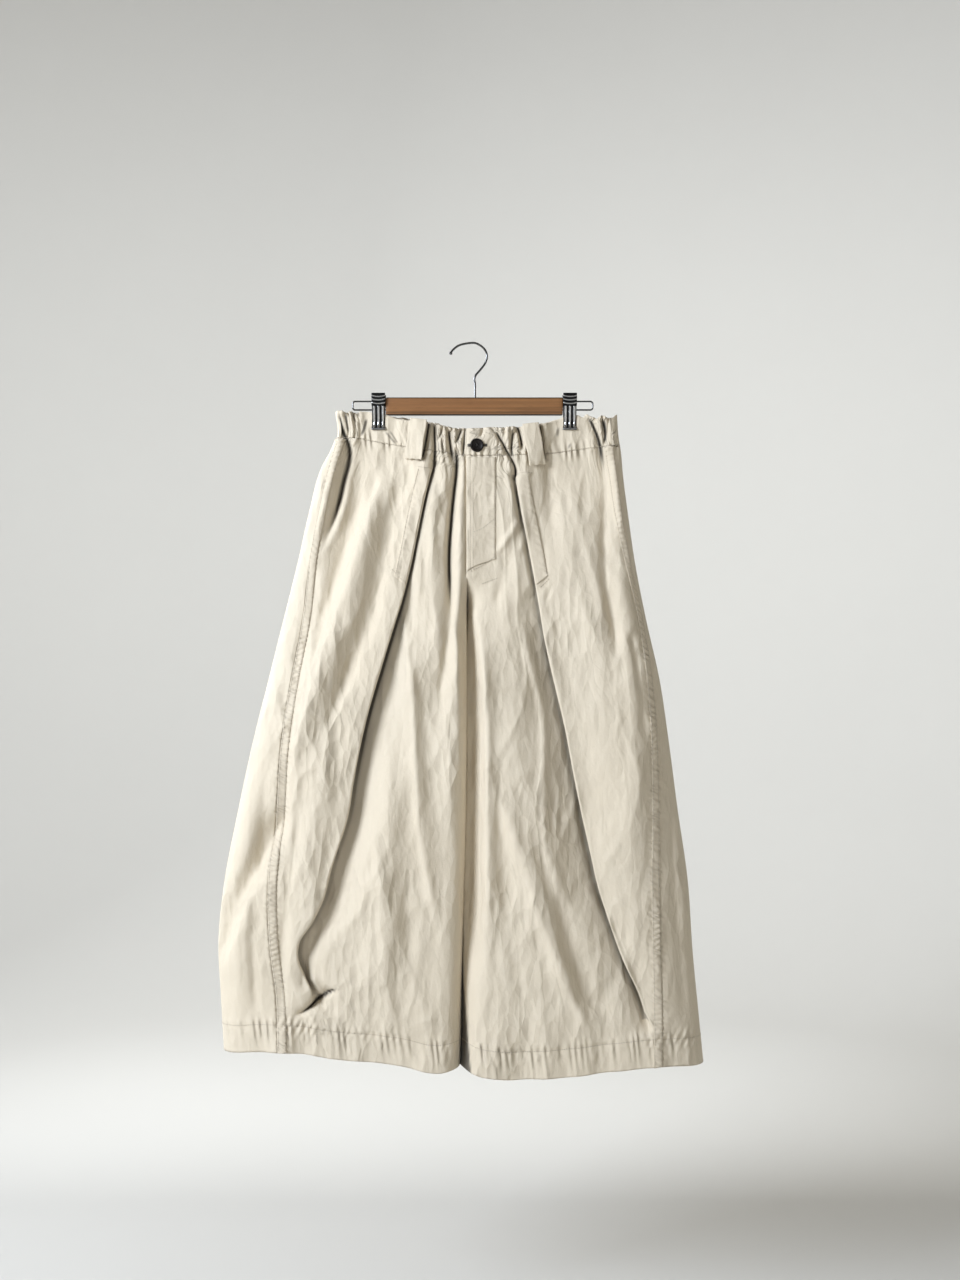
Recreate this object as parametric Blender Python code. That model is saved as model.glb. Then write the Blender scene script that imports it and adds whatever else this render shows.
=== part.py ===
"""Wide-leg ecru trousers hanging by two clips from a wooden hanger.

The frame: +Z up, the front faces -Y, and the origin is the inside top of the hook, where it rests
on its nail. Sizes below are millimetres, and MM turns them into Blender's metres. A drop is a
distance below the origin. Left is -X and right is +X, as seen from the front.

The cloth is a thin wall. Each half of the trousers is a flattened tube: it is laid out from its
outer edge, once round the front and once round the back, and the two halves meet at the middle
seam down to the crotch and part into two legs below it.
"""
from collections import namedtuple
from math import pi

import bmesh
import bpy
import numpy as np

MM = 0.001
LEFT, RIGHT = -1, 1

# Walls and gaps
CLOTH = 1.2
BAND_CLOTH = 1.6
TRIM = 1.0
SEAM_GAP = 0.3
TRIM_GAP = 0.35

# The middle of the front, where the fly's edge lies, and the two clips
MIDDLE_X = -8.4
CLIP_WIDTH = 19.2
CLIP_X = {LEFT: -132.0, RIGHT: 135.4}
CLIP_HALF_DEPTH = 2.3
CROTCH_TOP, CROTCH_LOW = 323.0, 372.0
HEM_DROP = 1000.0
WAIST_DROP = 145.0

# One row for each section of the trousers. The edges and the side seams are x; half_depth is from
# the middle plane to the front; reach is how far in from the edge the side is rounded.
Level = namedtuple("Level", "drop left_edge left_seam right_seam right_edge half_depth reach")
LEVELS = (
    Level(95, -191.8, -181.5, 192.0, 200.6, 14, 24),
    Level(130, -189.0, -178.5, 193.5, 203.0, 15, 24),
    Level(155, -196.0, -181.0, 196.0, 206.6, 17, 28),
    Level(185, -212.0, -190.0, 199.5, 209.3, 20, 34),
    Level(240, -228.5, -210.0, 206.0, 216.4, 25, 42),
    Level(305, -244.2, -224.0, 217.5, 225.9, 30, 50),
    Level(385, -264.3, -235.5, 234.5, 241.5, 34, 56),
    Level(470, -285.5, -251.0, 247.5, 260.5, 36, 60),
    Level(560, -308.0, -264.5, 254.5, 273.8, 38, 64),
    Level(650, -327.3, -270.5, 256.2, 285.6, 40, 68),
    Level(750, -346.6, -280.5, 256.0, 299.8, 43, 72),
    Level(850, -355.5, -278.0, 257.8, 306.8, 45, 76),
    Level(925, -352.0, -269.5, 260.0, 314.0, 46, 80),
    Level(1005, -347.6, -266.0, 259.0, 322.0, 47, 80),
)

# The inner edge of each leg, from the crotch to the hem
Inner = namedtuple("Inner", "drop left right")
INNER_EDGES = (
    Inner(323, -8.55, -8.25),
    Inner(345, -9.4, -7.3),
    Inner(600, -10.2, -7.4),
    Inner(730, -12.6, -8.2),
    Inner(820, -16.0, -9.0),
    Inner(900, -16.6, -9.2),
    Inner(960, -17.0, -7.0),
    Inner(1005, -19.0, -1.0),
)

# The pocket opening and the knife pleat below it. line is the x of the folded edge, lap is how
# far the cloth runs back underneath, and turn is how far it is folded: 0 is flat, 1 is folded flat
# on itself. The outer cloth lies on top.
Pleat = namedtuple("Pleat", "drop line lap turn")
PLEATS = {
    LEFT: (
        Pleat(130, -51, 0, 0.12),
        Pleat(333, -91, 0, 0.12),
        Pleat(360, -98, 3, 0.55),
        Pleat(386, -106, 8, 1.0),
        Pleat(452, -126, 16, 1.0),
        Pleat(514, -144, 22, 1.0),
        Pleat(609, -164, 30, 1.0),
        Pleat(654, -171, 30, 1.0),
        Pleat(725, -194, 26, 1.0),
        Pleat(808, -214, 16, 1.0),
        Pleat(860, -221, 7, 1.0),
        Pleat(905, -217, 0, 0.6),
        Pleat(940, -214, 0, 0.0),
        Pleat(1005, -214, 0, 0.0),
    ),
    RIGHT: (
        Pleat(130, 50, 0, 0.12),
        Pleat(185, 59, 0, 0.12),
        Pleat(341, 87, 0, 0.12),
        Pleat(370, 92, 2, 0.5),
        Pleat(413, 99, 5, 0.9),
        Pleat(468, 111, 8, 1.0),
        Pleat(535, 127, 12, 1.0),
        Pleat(610, 141, 14, 1.0),
        Pleat(752, 172, 14, 1.0),
        Pleat(827, 202, 10, 1.0),
        Pleat(880, 218, 4, 0.9),
        Pleat(915, 224, 0, 0.5),
        Pleat(945, 226, 0, 0.0),
        Pleat(1005, 224, 0, 0.0),
    ),
}
PLEAT_TURN = 6.0
LEAST_LAP = 0.9
PLEAT_RECOVER = 60.0
PLEAT_CLEAR = 3.0
PLEAT_STEPS = 3
LAP_STEPS = 3

# Long soft folds of the front: a crest line through three points, how far it reaches to each side
# and how far it stands out (in, where negative)
Fold = namedtuple("Fold", "top_drop top_x mid_drop mid_x low_drop low_x width rise")
FRONT_FOLDS = (
    Fold(150, -151, 300, -186, 470, -232, 20, -8),
    Fold(165, -122, 386, -186, 640, -256, 26, 9),
    Fold(180, -100, 386, -146, 560, -208, 17, -6),
    Fold(560, -196, 720, -226, 900, -248, 20, 5),
    Fold(371, -92, 610, -74, 830, -46, 12, 5),
    Fold(158, -24, 358, -32, 540, -47, 12, -6),
    Fold(560, -100, 750, -124, 960, -146, 26, 7),
    Fold(600, -308, 780, -322, 960, -314, 22, 6),
    Fold(340, 1, 582, 16, 900, 20, 13, 6),
    Fold(350, 31, 526, 76, 830, 130, 20, -9),
    Fold(600, 36, 764, 84, 975, 160, 17, 6),
    Fold(150, 176, 260, 185, 480, 207, 13, -6),
    Fold(340, 160, 582, 192, 860, 240, 22, 7),
    Fold(180, 118, 302, 140, 430, 162, 18, 4),
)
BACK_FOLDS = (
    Fold(150, -140, 420, -200, 900, -270, 30, 4),
    Fold(160, -95, 430, -130, 940, -190, 26, -4),
    Fold(170, -45, 470, -75, 960, -110, 30, 4),
    Fold(170, 40, 470, 66, 960, 96, 30, 4),
    Fold(160, 90, 430, 120, 940, 172, 26, -4),
    Fold(150, 140, 420, 180, 900, 240, 30, 4),
)

# Where the waistband's two edges and the hem run across the front
Line = namedtuple("Line", "x drop")
WAIST_TOP = (
    Line(-196, 96.8), Line(-170, 95.6), Line(-144, 95.8), Line(-124, 98.6), Line(-116, 102.0),
    Line(-60, 112.0), Line(-18, 120.0), Line(3, 119.5), Line(80, 115.0), Line(118, 106.4),
    Line(126, 102.8), Line(150, 101.0), Line(175, 102.6), Line(206, 102.2),
)
WAIST_SEAM = (
    Line(-196, 132.5), Line(-157, 133.4), Line(-139, 137.0), Line(-117, 141.0), Line(-63, 149.8),
    Line(-45, 152.0), Line(-8, 158.0), Line(40, 158.0), Line(101, 155.0), Line(153, 148.0),
    Line(175, 145.5), Line(208, 142.5),
)
BACK_WAIST_TOP = (
    Line(-196, 96.8), Line(-170, 95.6), Line(-144, 95.8), Line(-124, 98.6), Line(-116, 101.5),
    Line(-98, 102.6), Line(-60, 107.0), Line(-22, 116.0), Line(3, 119.0), Line(40, 117.0),
    Line(80, 112.0), Line(118, 105.4), Line(126, 102.8), Line(150, 101.0), Line(175, 102.6),
    Line(206, 102.2),
)
HEM = (
    Line(-350, 985.6), Line(-291, 979.0), Line(-256, 979.0), Line(-186, 988.4), Line(-102, 996.8),
    Line(-49, 1007.0), Line(-19, 1005.0), Line(0, 1010.0), Line(45, 1016.0), Line(122, 1012.0),
    Line(178, 1006.6), Line(255, 999.6), Line(322, 1002.4),
)
BACK_HEM_LOWER = 4.0

# Gathers of the waistband: where a group lies, how many waves it has and how deep they are
Gather = namedtuple("Gather", "start end waves depth")
FRONT_GATHERS = (
    Gather(-188, -146, 5, 2.4),
    Gather(-63, -12, 7, 1.8),
    Gather(30, 70, 5, 1.8),
    Gather(158, 202, 5, 2.2),
)
BACK_GATHERS = (
    Gather(-186, -150, 4, 2.2),
    Gather(-66, 68, 15, 2.2),
    Gather(160, 198, 4, 2.2),
)
COLUMNS_A_WAVE = 4
FLAT_COLUMN = 12.0

# Strips and trim
POCKET_STRIP = 18.0
POCKET_TOP, POCKET_BOTTOM = 170.0, 338.0
FELLED_SEAM = 12.0
FLY_WIDTH = {LEFT: 28.0, RIGHT: 40.0}
FLY_OUTER_END, FLY_INNER_END = 302.0, 322.0
LOOP_WIDTH = 23.0
LOOP_CLOTH = 1.6
LOOP_BOW = 1.6
BeltLoop = namedtuple("BeltLoop", "name top_x low_x top_drop low_drop face")
BELT_LOOPS = (
    BeltLoop("belt_loop_left", -75.6, -83.3, 107.0, 163.0, 1),
    BeltLoop("belt_loop_right", 79.8, 90.0, 113.0, 171.0, 1),
    BeltLoop("belt_loop_back_left", -80.0, -84.0, 108.0, 165.0, -1),
    BeltLoop("belt_loop_back_right", 82.0, 87.0, 113.0, 168.0, -1),
)
BUTTON_X, BUTTON_DROP = 5.6, 144.2
BUTTON_RADIUS, BUTTON_THICK = 9.5, 3.4
BUTTON_HOLE_RADIUS, BUTTON_HOLE_SPREAD = 1.0, 2.1

# Hanger
BAR_LEFT, BAR_RIGHT = -121.8, 125.3
BAR_TOP, BAR_LOW = 75.6, 99.8
BAR_DEPTH = 12.0
WIRE_DIAMETER = 2.3
WIRE_DROPS = (80.5, 92.4)
WIRE_END = {LEFT: -169.4, RIGHT: 168.7}
HOOK_DIAMETER = 3.0
Point = namedtuple("Point", "x drop")
HOOK_ROUTE = (
    Point(-32.2, 14.7), Point(-27.5, 7.6), Point(-17.5, 1.2), Point(0, -1.5), Point(9.5, 1.6),
    Point(17.0, 8.6), Point(19.6, 17.5), Point(17.0, 27.0), Point(10.0, 36.5), Point(4.0, 43.5),
    Point(2.0, 49.5), Point(2.8, 56.0), Point(2.8, 66.0), Point(2.8, 75.2),
)

# One row for each level of a clip's jaw: the outer and inner faces' distance from the middle
Jaw = namedtuple("Jaw", "drop outer inner ribbed")
JAW = (
    Jaw(70.0, 11.4, 9.4, 0),
    Jaw(74.5, 11.8, 8.9, 0),
    Jaw(77.5, 10.6, 8.2, 0),
    Jaw(80.5, 11.2, 7.7, 0),
    Jaw(83.5, 9.8, 7.0, 0),
    Jaw(86.5, 10.2, 6.2, 0),
    Jaw(89.5, 8.4, 5.6, 1),
    Jaw(98.0, 6.4, 4.2, 1),
    Jaw(115.5, 5.6, 3.5, 1),
    Jaw(117.0, 6.8, 3.5, 0),
    Jaw(120.6, 6.6, 3.5, 0),
)
JAW_COLUMNS = (0.0, 0.14, 0.28, 0.43, 0.57, 0.72, 0.86, 1.0)
JAW_RIB = 0.7

# How far down each row of the panels lies, before the seams' own curves are added
ROWS = np.array((
    145, 167, 195, 228, 262, 299, 323, 340, 358, 380, 410, 446, 492, 540, 588, 636, 684, 732,
    780, 828, 872, 908, 936, 962, 1000,
), float)
HEM_ROW = 23
HEM_CLOSEST = 2.0

# Finish: base colour, roughness, metallic
FINISHES = {
    "cloth": ((0.70, 0.65, 0.55), 0.85, 0.0),
    "trim_cloth": ((0.66, 0.61, 0.51), 0.85, 0.0),
    "wood": ((0.32, 0.16, 0.07), 0.45, 0.0),
    "steel": ((0.45, 0.45, 0.45), 0.25, 1.0),
    "button": ((0.02, 0.018, 0.016), 0.3, 0.0),
}


def flow(where, knots, values):
    """Value on the smooth curve through (knots, values): cubic pieces whose slopes at a knot
    are those of its neighbours."""
    knots = np.asarray(knots, float)
    values = np.asarray(values, float)
    slopes = np.gradient(values, knots)
    where = np.clip(where, knots[0], knots[-1])
    index = np.clip(np.searchsorted(knots, where) - 1, 0, len(knots) - 2)
    span = knots[index + 1] - knots[index]
    t = (where - knots[index]) / span
    start = (2 * t**3 - 3 * t**2 + 1) * values[index] + (t**3 - 2 * t**2 + t) * span * slopes[index]
    end = (3 * t**2 - 2 * t**3) * values[index + 1] + (t**3 - t**2) * span * slopes[index + 1]
    return start + end


def column(rows, name):
    """One named column of a table."""
    return [getattr(row, name) for row in rows]


def level(name, drop):
    """A column of the section table at a drop."""
    return flow(drop, column(LEVELS, "drop"), column(LEVELS, name))


def soft(t):
    """0 below 0, 1 above 1 and a smooth step between."""
    t = np.clip(t, 0.0, 1.0)
    return t * t * (3 - 2 * t)


def across_line(line, x):
    """Drop of a seam or hem line at x."""
    return flow(x, column(line, "x"), column(line, "drop"))


def inner_edge(side, drop):
    """x of the edge of one half: the middle seam above the crotch, the inseam below."""
    name = "left" if side == LEFT else "right"
    return flow(drop, column(INNER_EDGES, "drop"), column(INNER_EDGES, name))


def closing(drop):
    """0 above the crotch, where the halves are open to each other, and 1 below, where each leg
    is closed round."""
    return soft((drop - CROTCH_TOP) / (CROTCH_LOW - CROTCH_TOP))


def half_depth(x, drop):
    """Distance from the middle plane to the cloth: the section's own, pinched at the clips and
    opening out again away from them."""
    depth = level("half_depth", drop) + np.zeros_like(x)
    fade = soft((330.0 - drop) / 195.0)
    for clip_x in CLIP_X.values():
        away = np.abs(x - clip_x) - CLIP_WIDTH / 2 - 3.0
        near = soft(1.0 - away / (34.0 + 0.12 * drop)) * fade
        depth = depth + (CLIP_HALF_DEPTH - depth) * near
    return depth


def edge_arc(run, reach):
    """Where a run of cloth past the outer edge lies. It turns through a quarter circle of the
    given reach and goes straight on. Gives the distance in from the edge and the share of the
    full depth, which is negative on the back."""
    angle = run / reach
    turning = np.abs(angle) < pi / 2
    inward = np.where(turning, reach * (1 - np.cos(angle)), reach + np.abs(run) - reach * pi / 2)
    share = np.where(turning, np.sin(angle), np.sign(run))
    return inward, share


def edge_run(inward, reach):
    """Run of cloth from the outer edge to a distance in from it: edge_arc the other way round."""
    turning = np.clip(1 - inward / reach, -1, 1)
    return np.where(inward < reach, reach * np.arccos(turning), reach * (pi / 2 - 1) + inward)


def folds(table, x, drop):
    """Sum of the long folds: each one a rounded ridge about its crest line, fading at its ends."""
    total = np.zeros(np.broadcast(x, drop).shape)
    for fold in table:
        crest = flow(drop, (fold.top_drop, fold.mid_drop, fold.low_drop),
                     (fold.top_x, fold.mid_x, fold.low_x))
        fade_in = soft((drop - fold.top_drop) / (0.25 * (fold.mid_drop - fold.top_drop) + 15) + 0.15)
        fade_out = soft((fold.low_drop - drop) / (0.6 * (fold.low_drop - fold.mid_drop)) + 0.05)
        total += fold.rise * fade_in * fade_out * np.exp(-((x - crest) / fold.width) ** 2)
    return total


def gathers(table, x):
    """Depth of the waistband's waves at x: uneven waves within each group, none outside."""
    total = np.zeros_like(x)
    for group in table:
        t = (x - group.start) / (group.end - group.start)
        inside = soft(t * group.waves) * soft((1 - t) * group.waves)
        uneven = 0.12 * np.sin(2 * pi * 1.7 * t) + 0.05 * np.sin(2 * pi * 4.3 * t)
        height = 0.8 + 0.2 * np.sin(2 * pi * (2.6 * t + 0.2))
        wave = np.sin(2 * pi * (t * group.waves + uneven)) * height
        total += group.depth * wave * inside
    return total


def row_drop(x, row, back=False):
    """Drop of a point of a panel: the row's own, bent to the waist seam at the top and to the
    hem at the bottom."""
    waist_shift = across_line(WAIST_SEAM, x) + SEAM_GAP - WAIST_DROP
    hem_shift = across_line(HEM, x) - HEM_DROP
    if back:
        hem_shift = hem_shift + BACK_HEM_LOWER * soft((x - 100) / 30) * soft((265 - x) / 30)
    near_waist = (1 - soft((row - WAIST_DROP) / 190))
    near_hem = soft((row - 700) / 250)
    return row + waist_shift * near_waist + hem_shift * near_hem


def body_point(x, share, row, back_face):
    """Points of the body's middle surface from x, the share of the full depth and the row."""
    drop = row_drop(x, row) if not back_face else row_drop(x, row, back=True)
    depth = half_depth(x, drop)
    front = np.clip(share, 0, 1)
    back = np.clip(-share, 0, 1)
    y = -depth * share
    y = y - folds(FRONT_FOLDS, x, drop) * soft(front * 1.2) * soft((depth - 4) / 12)
    y = y + folds(BACK_FOLDS, x, drop) * soft(back * 1.2) * soft((depth - 4) / 12)
    return np.stack([x, y, -drop], axis=-1)


def pleat_curve(lap, turn):
    """One pleat across the cloth: it turns back, runs under by the lap and turns forward again.
    The heading swings from 0 to turn half circles and back, so the length of cloth is kept.
    Gives the way run inward and the way run deeper, a column for each point."""
    swing = (np.arange(PLEAT_STEPS) + 0.5) / PLEAT_STEPS
    headings = np.concatenate([swing, np.ones(LAP_STEPS), swing[::-1]])
    inward = [np.zeros_like(lap)]
    deeper = [np.zeros_like(lap)]
    for share in headings:
        run = lap / LAP_STEPS if share == 1 else PLEAT_TURN / PLEAT_STEPS
        angle = turn * pi * share
        inward.append(inward[-1] + run * np.cos(angle))
        deeper.append(deeper[-1] + run * np.sin(angle))
    return np.concatenate(inward, axis=1), np.concatenate(deeper, axis=1)


Panel = namedtuple("Panel", "mid normal")


def steps(start, end, count):
    """count columns from start up to, but not with, end."""
    return start + (end - start) * (np.arange(count) / count)


OUTER_COLUMNS = 7
MIDDLE_COLUMNS = 5
INNER_TURNS = 3


def front_panel(side):
    """Middle surface of one front panel, rows by columns, from the side seam to the inner edge:
    the side, the pocket strip, the pleat and the cloth on to the middle."""
    row = ROWS[:, None]
    edge = side * level("left_edge" if side == LEFT else "right_edge", row)
    seam = side * level("left_seam" if side == LEFT else "right_seam", row)
    reach = level("reach", row)
    inner = side * inner_edge(side, row)
    pleats = PLEATS[side]
    drops = column(pleats, "drop")
    line = side * flow(row, drops, column(pleats, "line"))
    lap = np.clip(flow(row, drops, column(pleats, "lap")), LEAST_LAP, None)
    turn = np.clip(flow(row, drops, column(pleats, "turn")), 0, 1)
    ahead, deeper = pleat_curve(lap, turn)
    begin = line + ahead.max(axis=1, keepdims=True)

    run_seam = edge_run(edge - seam, reach) + SEAM_GAP / 2
    run_band = run_seam + FELLED_SEAM
    run_begin = edge_run(edge - begin, reach)
    run_strip = run_begin - np.clip(POCKET_STRIP, None, 0.6 * (run_begin - run_band))
    run = np.concatenate([run_seam, steps(run_band, run_strip, OUTER_COLUMNS), run_strip,
                          (run_strip + run_begin) / 2], axis=1)
    from_edge, side_share = edge_arc(run, reach)
    outer = edge - from_edge

    fly = np.minimum(inner + FLY_WIDTH[side], line - 2 * PLEAT_CLEAR)
    middle = steps(line - PLEAT_CLEAR, fly, MIDDLE_COLUMNS)
    angle = np.linspace(pi / 2, 0, INNER_TURNS + 1)[None, :]
    last = inner + (fly - inner) * (1 - np.cos(angle))
    closed = closing(row)
    last_share = (1 - closed) + closed * np.sin(angle)

    half = np.concatenate([outer, begin - ahead, middle, last], axis=1)
    share = np.concatenate([side_share, np.ones_like(ahead), np.ones_like(middle), last_share],
                           axis=1)
    extra = np.concatenate([np.zeros_like(outer), deeper, deeper[:, -1:] + np.zeros_like(middle),
                            deeper[:, -1:] + np.zeros_like(last)], axis=1)
    beyond = np.clip(line - PLEAT_CLEAR - half, 0, None)
    extra = np.where(np.arange(half.shape[1]) >= outer.shape[1] + ahead.shape[1],
                     extra * (1 - soft(beyond / PLEAT_RECOVER)), extra)
    mid = body_point(side * half, share, row, back_face=False)
    mid[..., 1] += extra * np.where(share > 0.999, 1.0, share)
    mid[:, -1, 1] -= SEAM_GAP / 2 * closed[:, 0]
    first_across = seam_across(side, edge, seam, reach, row)
    last_across = inner_across(side, closed, 1)
    return Panel(mid, side * normals(mid, first_across, last_across))


def seam_across(side, edge, seam, reach, row):
    """Direction across the cloth at the side seam, from the back panel towards the front one.
    Both panels use it, so their edges face each other squarely."""
    sides = []
    for shift in (-1.0, 1.0):
        from_edge, share = edge_arc(edge_run(edge - seam, reach) + shift, reach)
        sides.append(body_point(side * (edge - from_edge), share, row, back_face=False))
    return (sides[1] - sides[0])[:, 0]


def inner_across(side, closed, face):
    """Direction across the cloth at a panel's inner edge: towards the other half where the
    halves are open to each other, and round to the other face where the leg is closed."""
    return np.concatenate([-side * 0.35 * (1 - closed), face * closed, 0 * closed], axis=1)


BACK_WRAP_COLUMNS = 4
BACK_SIDE_COLUMNS = 3
BACK_COLUMNS = 8


def back_panel(side):
    """Middle surface of one back panel, from the side seam on the front, round the outer edge
    and across the back to the inner edge."""
    row = ROWS[:, None]
    edge = side * level("left_edge" if side == LEFT else "right_edge", row)
    seam = side * level("left_seam" if side == LEFT else "right_seam", row)
    reach = level("reach", row)
    inner = side * inner_edge(side, row)
    run_seam = edge_run(edge - seam, reach) - SEAM_GAP / 2
    turned = reach * pi / 2
    fly = inner + FLY_WIDTH[side]
    run_fly = edge_run(edge - fly, reach)
    run = np.concatenate([steps(run_seam, 0 * turned, BACK_WRAP_COLUMNS),
                          steps(0 * turned, -turned, BACK_SIDE_COLUMNS),
                          steps(-turned, -run_fly, BACK_COLUMNS)], axis=1)
    from_edge, side_share = edge_arc(run, reach)
    angle = np.linspace(pi / 2, 0, INNER_TURNS + 1)[None, :]
    last = inner + (fly - inner) * (1 - np.cos(angle))
    closed = closing(row)
    last_share = -((1 - closed) + closed * np.sin(angle))
    half = np.concatenate([edge - from_edge, last], axis=1)
    share = np.concatenate([side_share, last_share], axis=1)
    front_face = body_point(side * half, share, row, back_face=False)
    back_face = body_point(side * half, share, row, back_face=True)
    mid = np.where((share < 0)[..., None], back_face, front_face)
    mid[:, -1, 1] += SEAM_GAP / 2 * closed[:, 0]
    first_across = -seam_across(side, edge, seam, reach, row)
    last_across = inner_across(side, closed, -1)
    return Panel(mid, -side * normals(mid, first_across, last_across))


def normals(mid, first_across=None, last_across=None):
    """Unit normals of a grid of points, square to the directions down and across it. The
    direction across may be given at the first and the last column."""
    down = np.gradient(mid, axis=0)
    across = np.gradient(mid, axis=1)
    if first_across is not None:
        across[:, 0] = first_across
    if last_across is not None:
        across[:, -1] = last_across
    normal = np.cross(across, down)
    return normal / np.linalg.norm(normal, axis=2, keepdims=True)


def finish(name):
    """The named material, made once."""
    material = bpy.data.materials.get(name)
    if material is None:
        colour, roughness, metallic = FINISHES[name]
        material = bpy.data.materials.new(name)
        material.use_nodes = True
        shader = material.node_tree.nodes["Principled BSDF"]
        shader.inputs["Base Color"].default_value = (*colour, 1.0)
        shader.inputs["Roughness"].default_value = roughness
        shader.inputs["Metallic"].default_value = metallic
        material.diffuse_color = (*colour, 1.0)
    return material


def place_mesh(name, points, faces, material, smooth=True):
    """A mesh object from points in millimetres, its faces turned to point out."""
    mesh = bpy.data.meshes.new(name)
    mesh.from_pydata((np.asarray(points) * MM).tolist(), [], faces)
    body = bmesh.new()
    body.from_mesh(mesh)
    bmesh.ops.recalc_face_normals(body, faces=body.faces)
    body.to_mesh(mesh)
    body.free()
    if smooth:
        mesh.shade_smooth()
        mesh.set_sharp_from_angle(angle=0.6)
    mesh.materials.append(finish(material))
    item = bpy.data.objects.new(name, mesh)
    bpy.context.collection.objects.link(item)
    return item


def two_sided(name, outer, inner, material, closed=False, mirrored=None):
    """A closed wall between an outer and an inner grid of points, with its rims filled. mirrored
    says, for each column of faces, whether they are cut along their other diagonal."""
    rows, columns = outer.shape[:2]
    index = np.arange(rows * columns).reshape(rows, columns)
    if closed:
        index = np.concatenate([index, index[:, :1]], axis=1)
    here, right = index[:-1, :-1], index[:-1, 1:]
    below, corner = index[1:, :-1], index[1:, 1:]
    other = np.zeros_like(here, bool) if mirrored is None else mirrored[None, :] & (here >= 0)
    top = np.stack([here, right, np.where(other, below, corner)], axis=-1).reshape(-1, 3)
    low = np.stack([np.where(other, right, here), corner, below], axis=-1).reshape(-1, 3)
    skin = np.concatenate([top, low])
    count = rows * columns
    faces = skin.tolist() + (skin[:, ::-1] + count).tolist()
    rims = [index[0], index[-1][::-1]]
    if not closed:
        rims += [index[:, -1], index[::-1, 0]]
    for rim in rims:
        for start, end in zip(rim[:-1].tolist(), rim[1:].tolist()):
            faces.append((end, start, start + count))
            faces.append((end, start + count, end + count))
    points = np.concatenate([outer.reshape(-1, 3), inner.reshape(-1, 3)])
    return place_mesh(name, points, faces, material)


def wall(name, mid, thickness, material):
    """A wall of one thickness about its middle surface."""
    normal = normals(mid)
    two_sided(name, mid + normal * thickness / 2, mid - normal * thickness / 2, material)


def panel_wall(name, panel):
    """A panel's cloth."""
    away = panel.normal * CLOTH / 2
    two_sided(name, panel.mid + away, panel.mid - away, "cloth")


def row_before(drop):
    """Index of the last panel row above a drop."""
    return int(np.searchsorted(ROWS, drop)) - 1


def part_way(grid, row, drops):
    """A row of points between two rows of a grid, at a drop for each column."""
    share = (drops - ROWS[row]) / (ROWS[row + 1] - ROWS[row])
    return grid[row] + (grid[row + 1] - grid[row]) * share[:, None]


def strip_on_panel(name, panel, first, last, top, low_first, low_last):
    """A strip sewn on a panel from its column first to its column last: the panel's points moved
    out. It starts at the drop top, and its lower end slants from low_first to low_last."""
    count = last - first + 1
    tops = np.full(count, top)
    lows = np.linspace(low_first, low_last, count)
    top_row, low_row = row_before(top), row_before(min(low_first, low_last))
    faces = []
    for away in (CLOTH / 2 + TRIM_GAP + TRIM, CLOTH / 2 + TRIM_GAP):
        grid = (panel.mid + panel.normal * away)[:, first:last + 1]
        head = part_way(grid, top_row, tops)
        foot = part_way(grid, low_row, lows)
        faces.append(np.concatenate([head[None], grid[top_row + 1:low_row + 1], foot[None]]))
    two_sided(name, faces[0], faces[1], "trim_cloth")


def waist_points(side, run, share_down, gather_table, top_line):
    """Middle surface of the waistband: runs along it from the outer edge, and shares of its
    height from the top edge to the seam."""
    edge = side * level("left_edge" if side == LEFT else "right_edge", WAIST_DROP - 15)
    reach = level("reach", WAIST_DROP - 15)
    from_edge, share = edge_arc(run, reach)
    x = (side * (edge - from_edge))[None, :]
    share = share[None, :]
    down = share_down[:, None]
    wave = gathers(gather_table, x + np.zeros_like(down))
    top = across_line(top_line, x) + 0.35 * np.abs(wave)
    low = across_line(WAIST_SEAM, x)
    drop = top + (low - top) * down
    depth = half_depth(x + np.zeros_like(drop), drop)
    swell = wave * (1 - 0.55 * down) * soft((depth - CLIP_HALF_DEPTH) / 4)
    y = -share * (depth + swell + 0.8 * np.sin(pi * down) * soft((depth - 4) / 8))
    widening = (level("left_edge" if side == LEFT else "right_edge", drop)
                - side * edge) * soft((np.abs(x) - 120) / 60)
    return np.stack([x + widening, y, -drop], axis=-1)


def band_columns(table, start, end):
    """x of the waistband's columns between two ends: close together along the gathers and wide
    apart where the band is flat."""
    marks = np.concatenate([np.linspace(group.start, group.end, group.waves * COLUMNS_A_WAVE + 1)
                            for group in table])
    low, high = min(start, end), max(start, end)
    marks = marks[(marks > low + 0.8) & (marks < high - 0.8)]
    edges = np.concatenate([[low], marks, [high]])
    places = [low]
    for a, b in zip(edges[:-1], edges[1:]):
        pieces = max(1, int(np.ceil((b - a) / FLAT_COLUMN)))
        places.extend((a + (b - a) * (np.arange(pieces) + 1) / pieces).tolist())
    places = np.array(places)
    return places if start < end else places[::-1]


BAND_ROWS = np.array((0.0, 0.3, 0.65, 1.0))


def waist_runs(side, x):
    """Runs of cloth from the outer edge that reach the given x on the front."""
    edge = side * level("left_edge" if side == LEFT else "right_edge", WAIST_DROP - 15)
    reach = level("reach", WAIST_DROP - 15)
    return edge_run(edge - side * x, reach)


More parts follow.
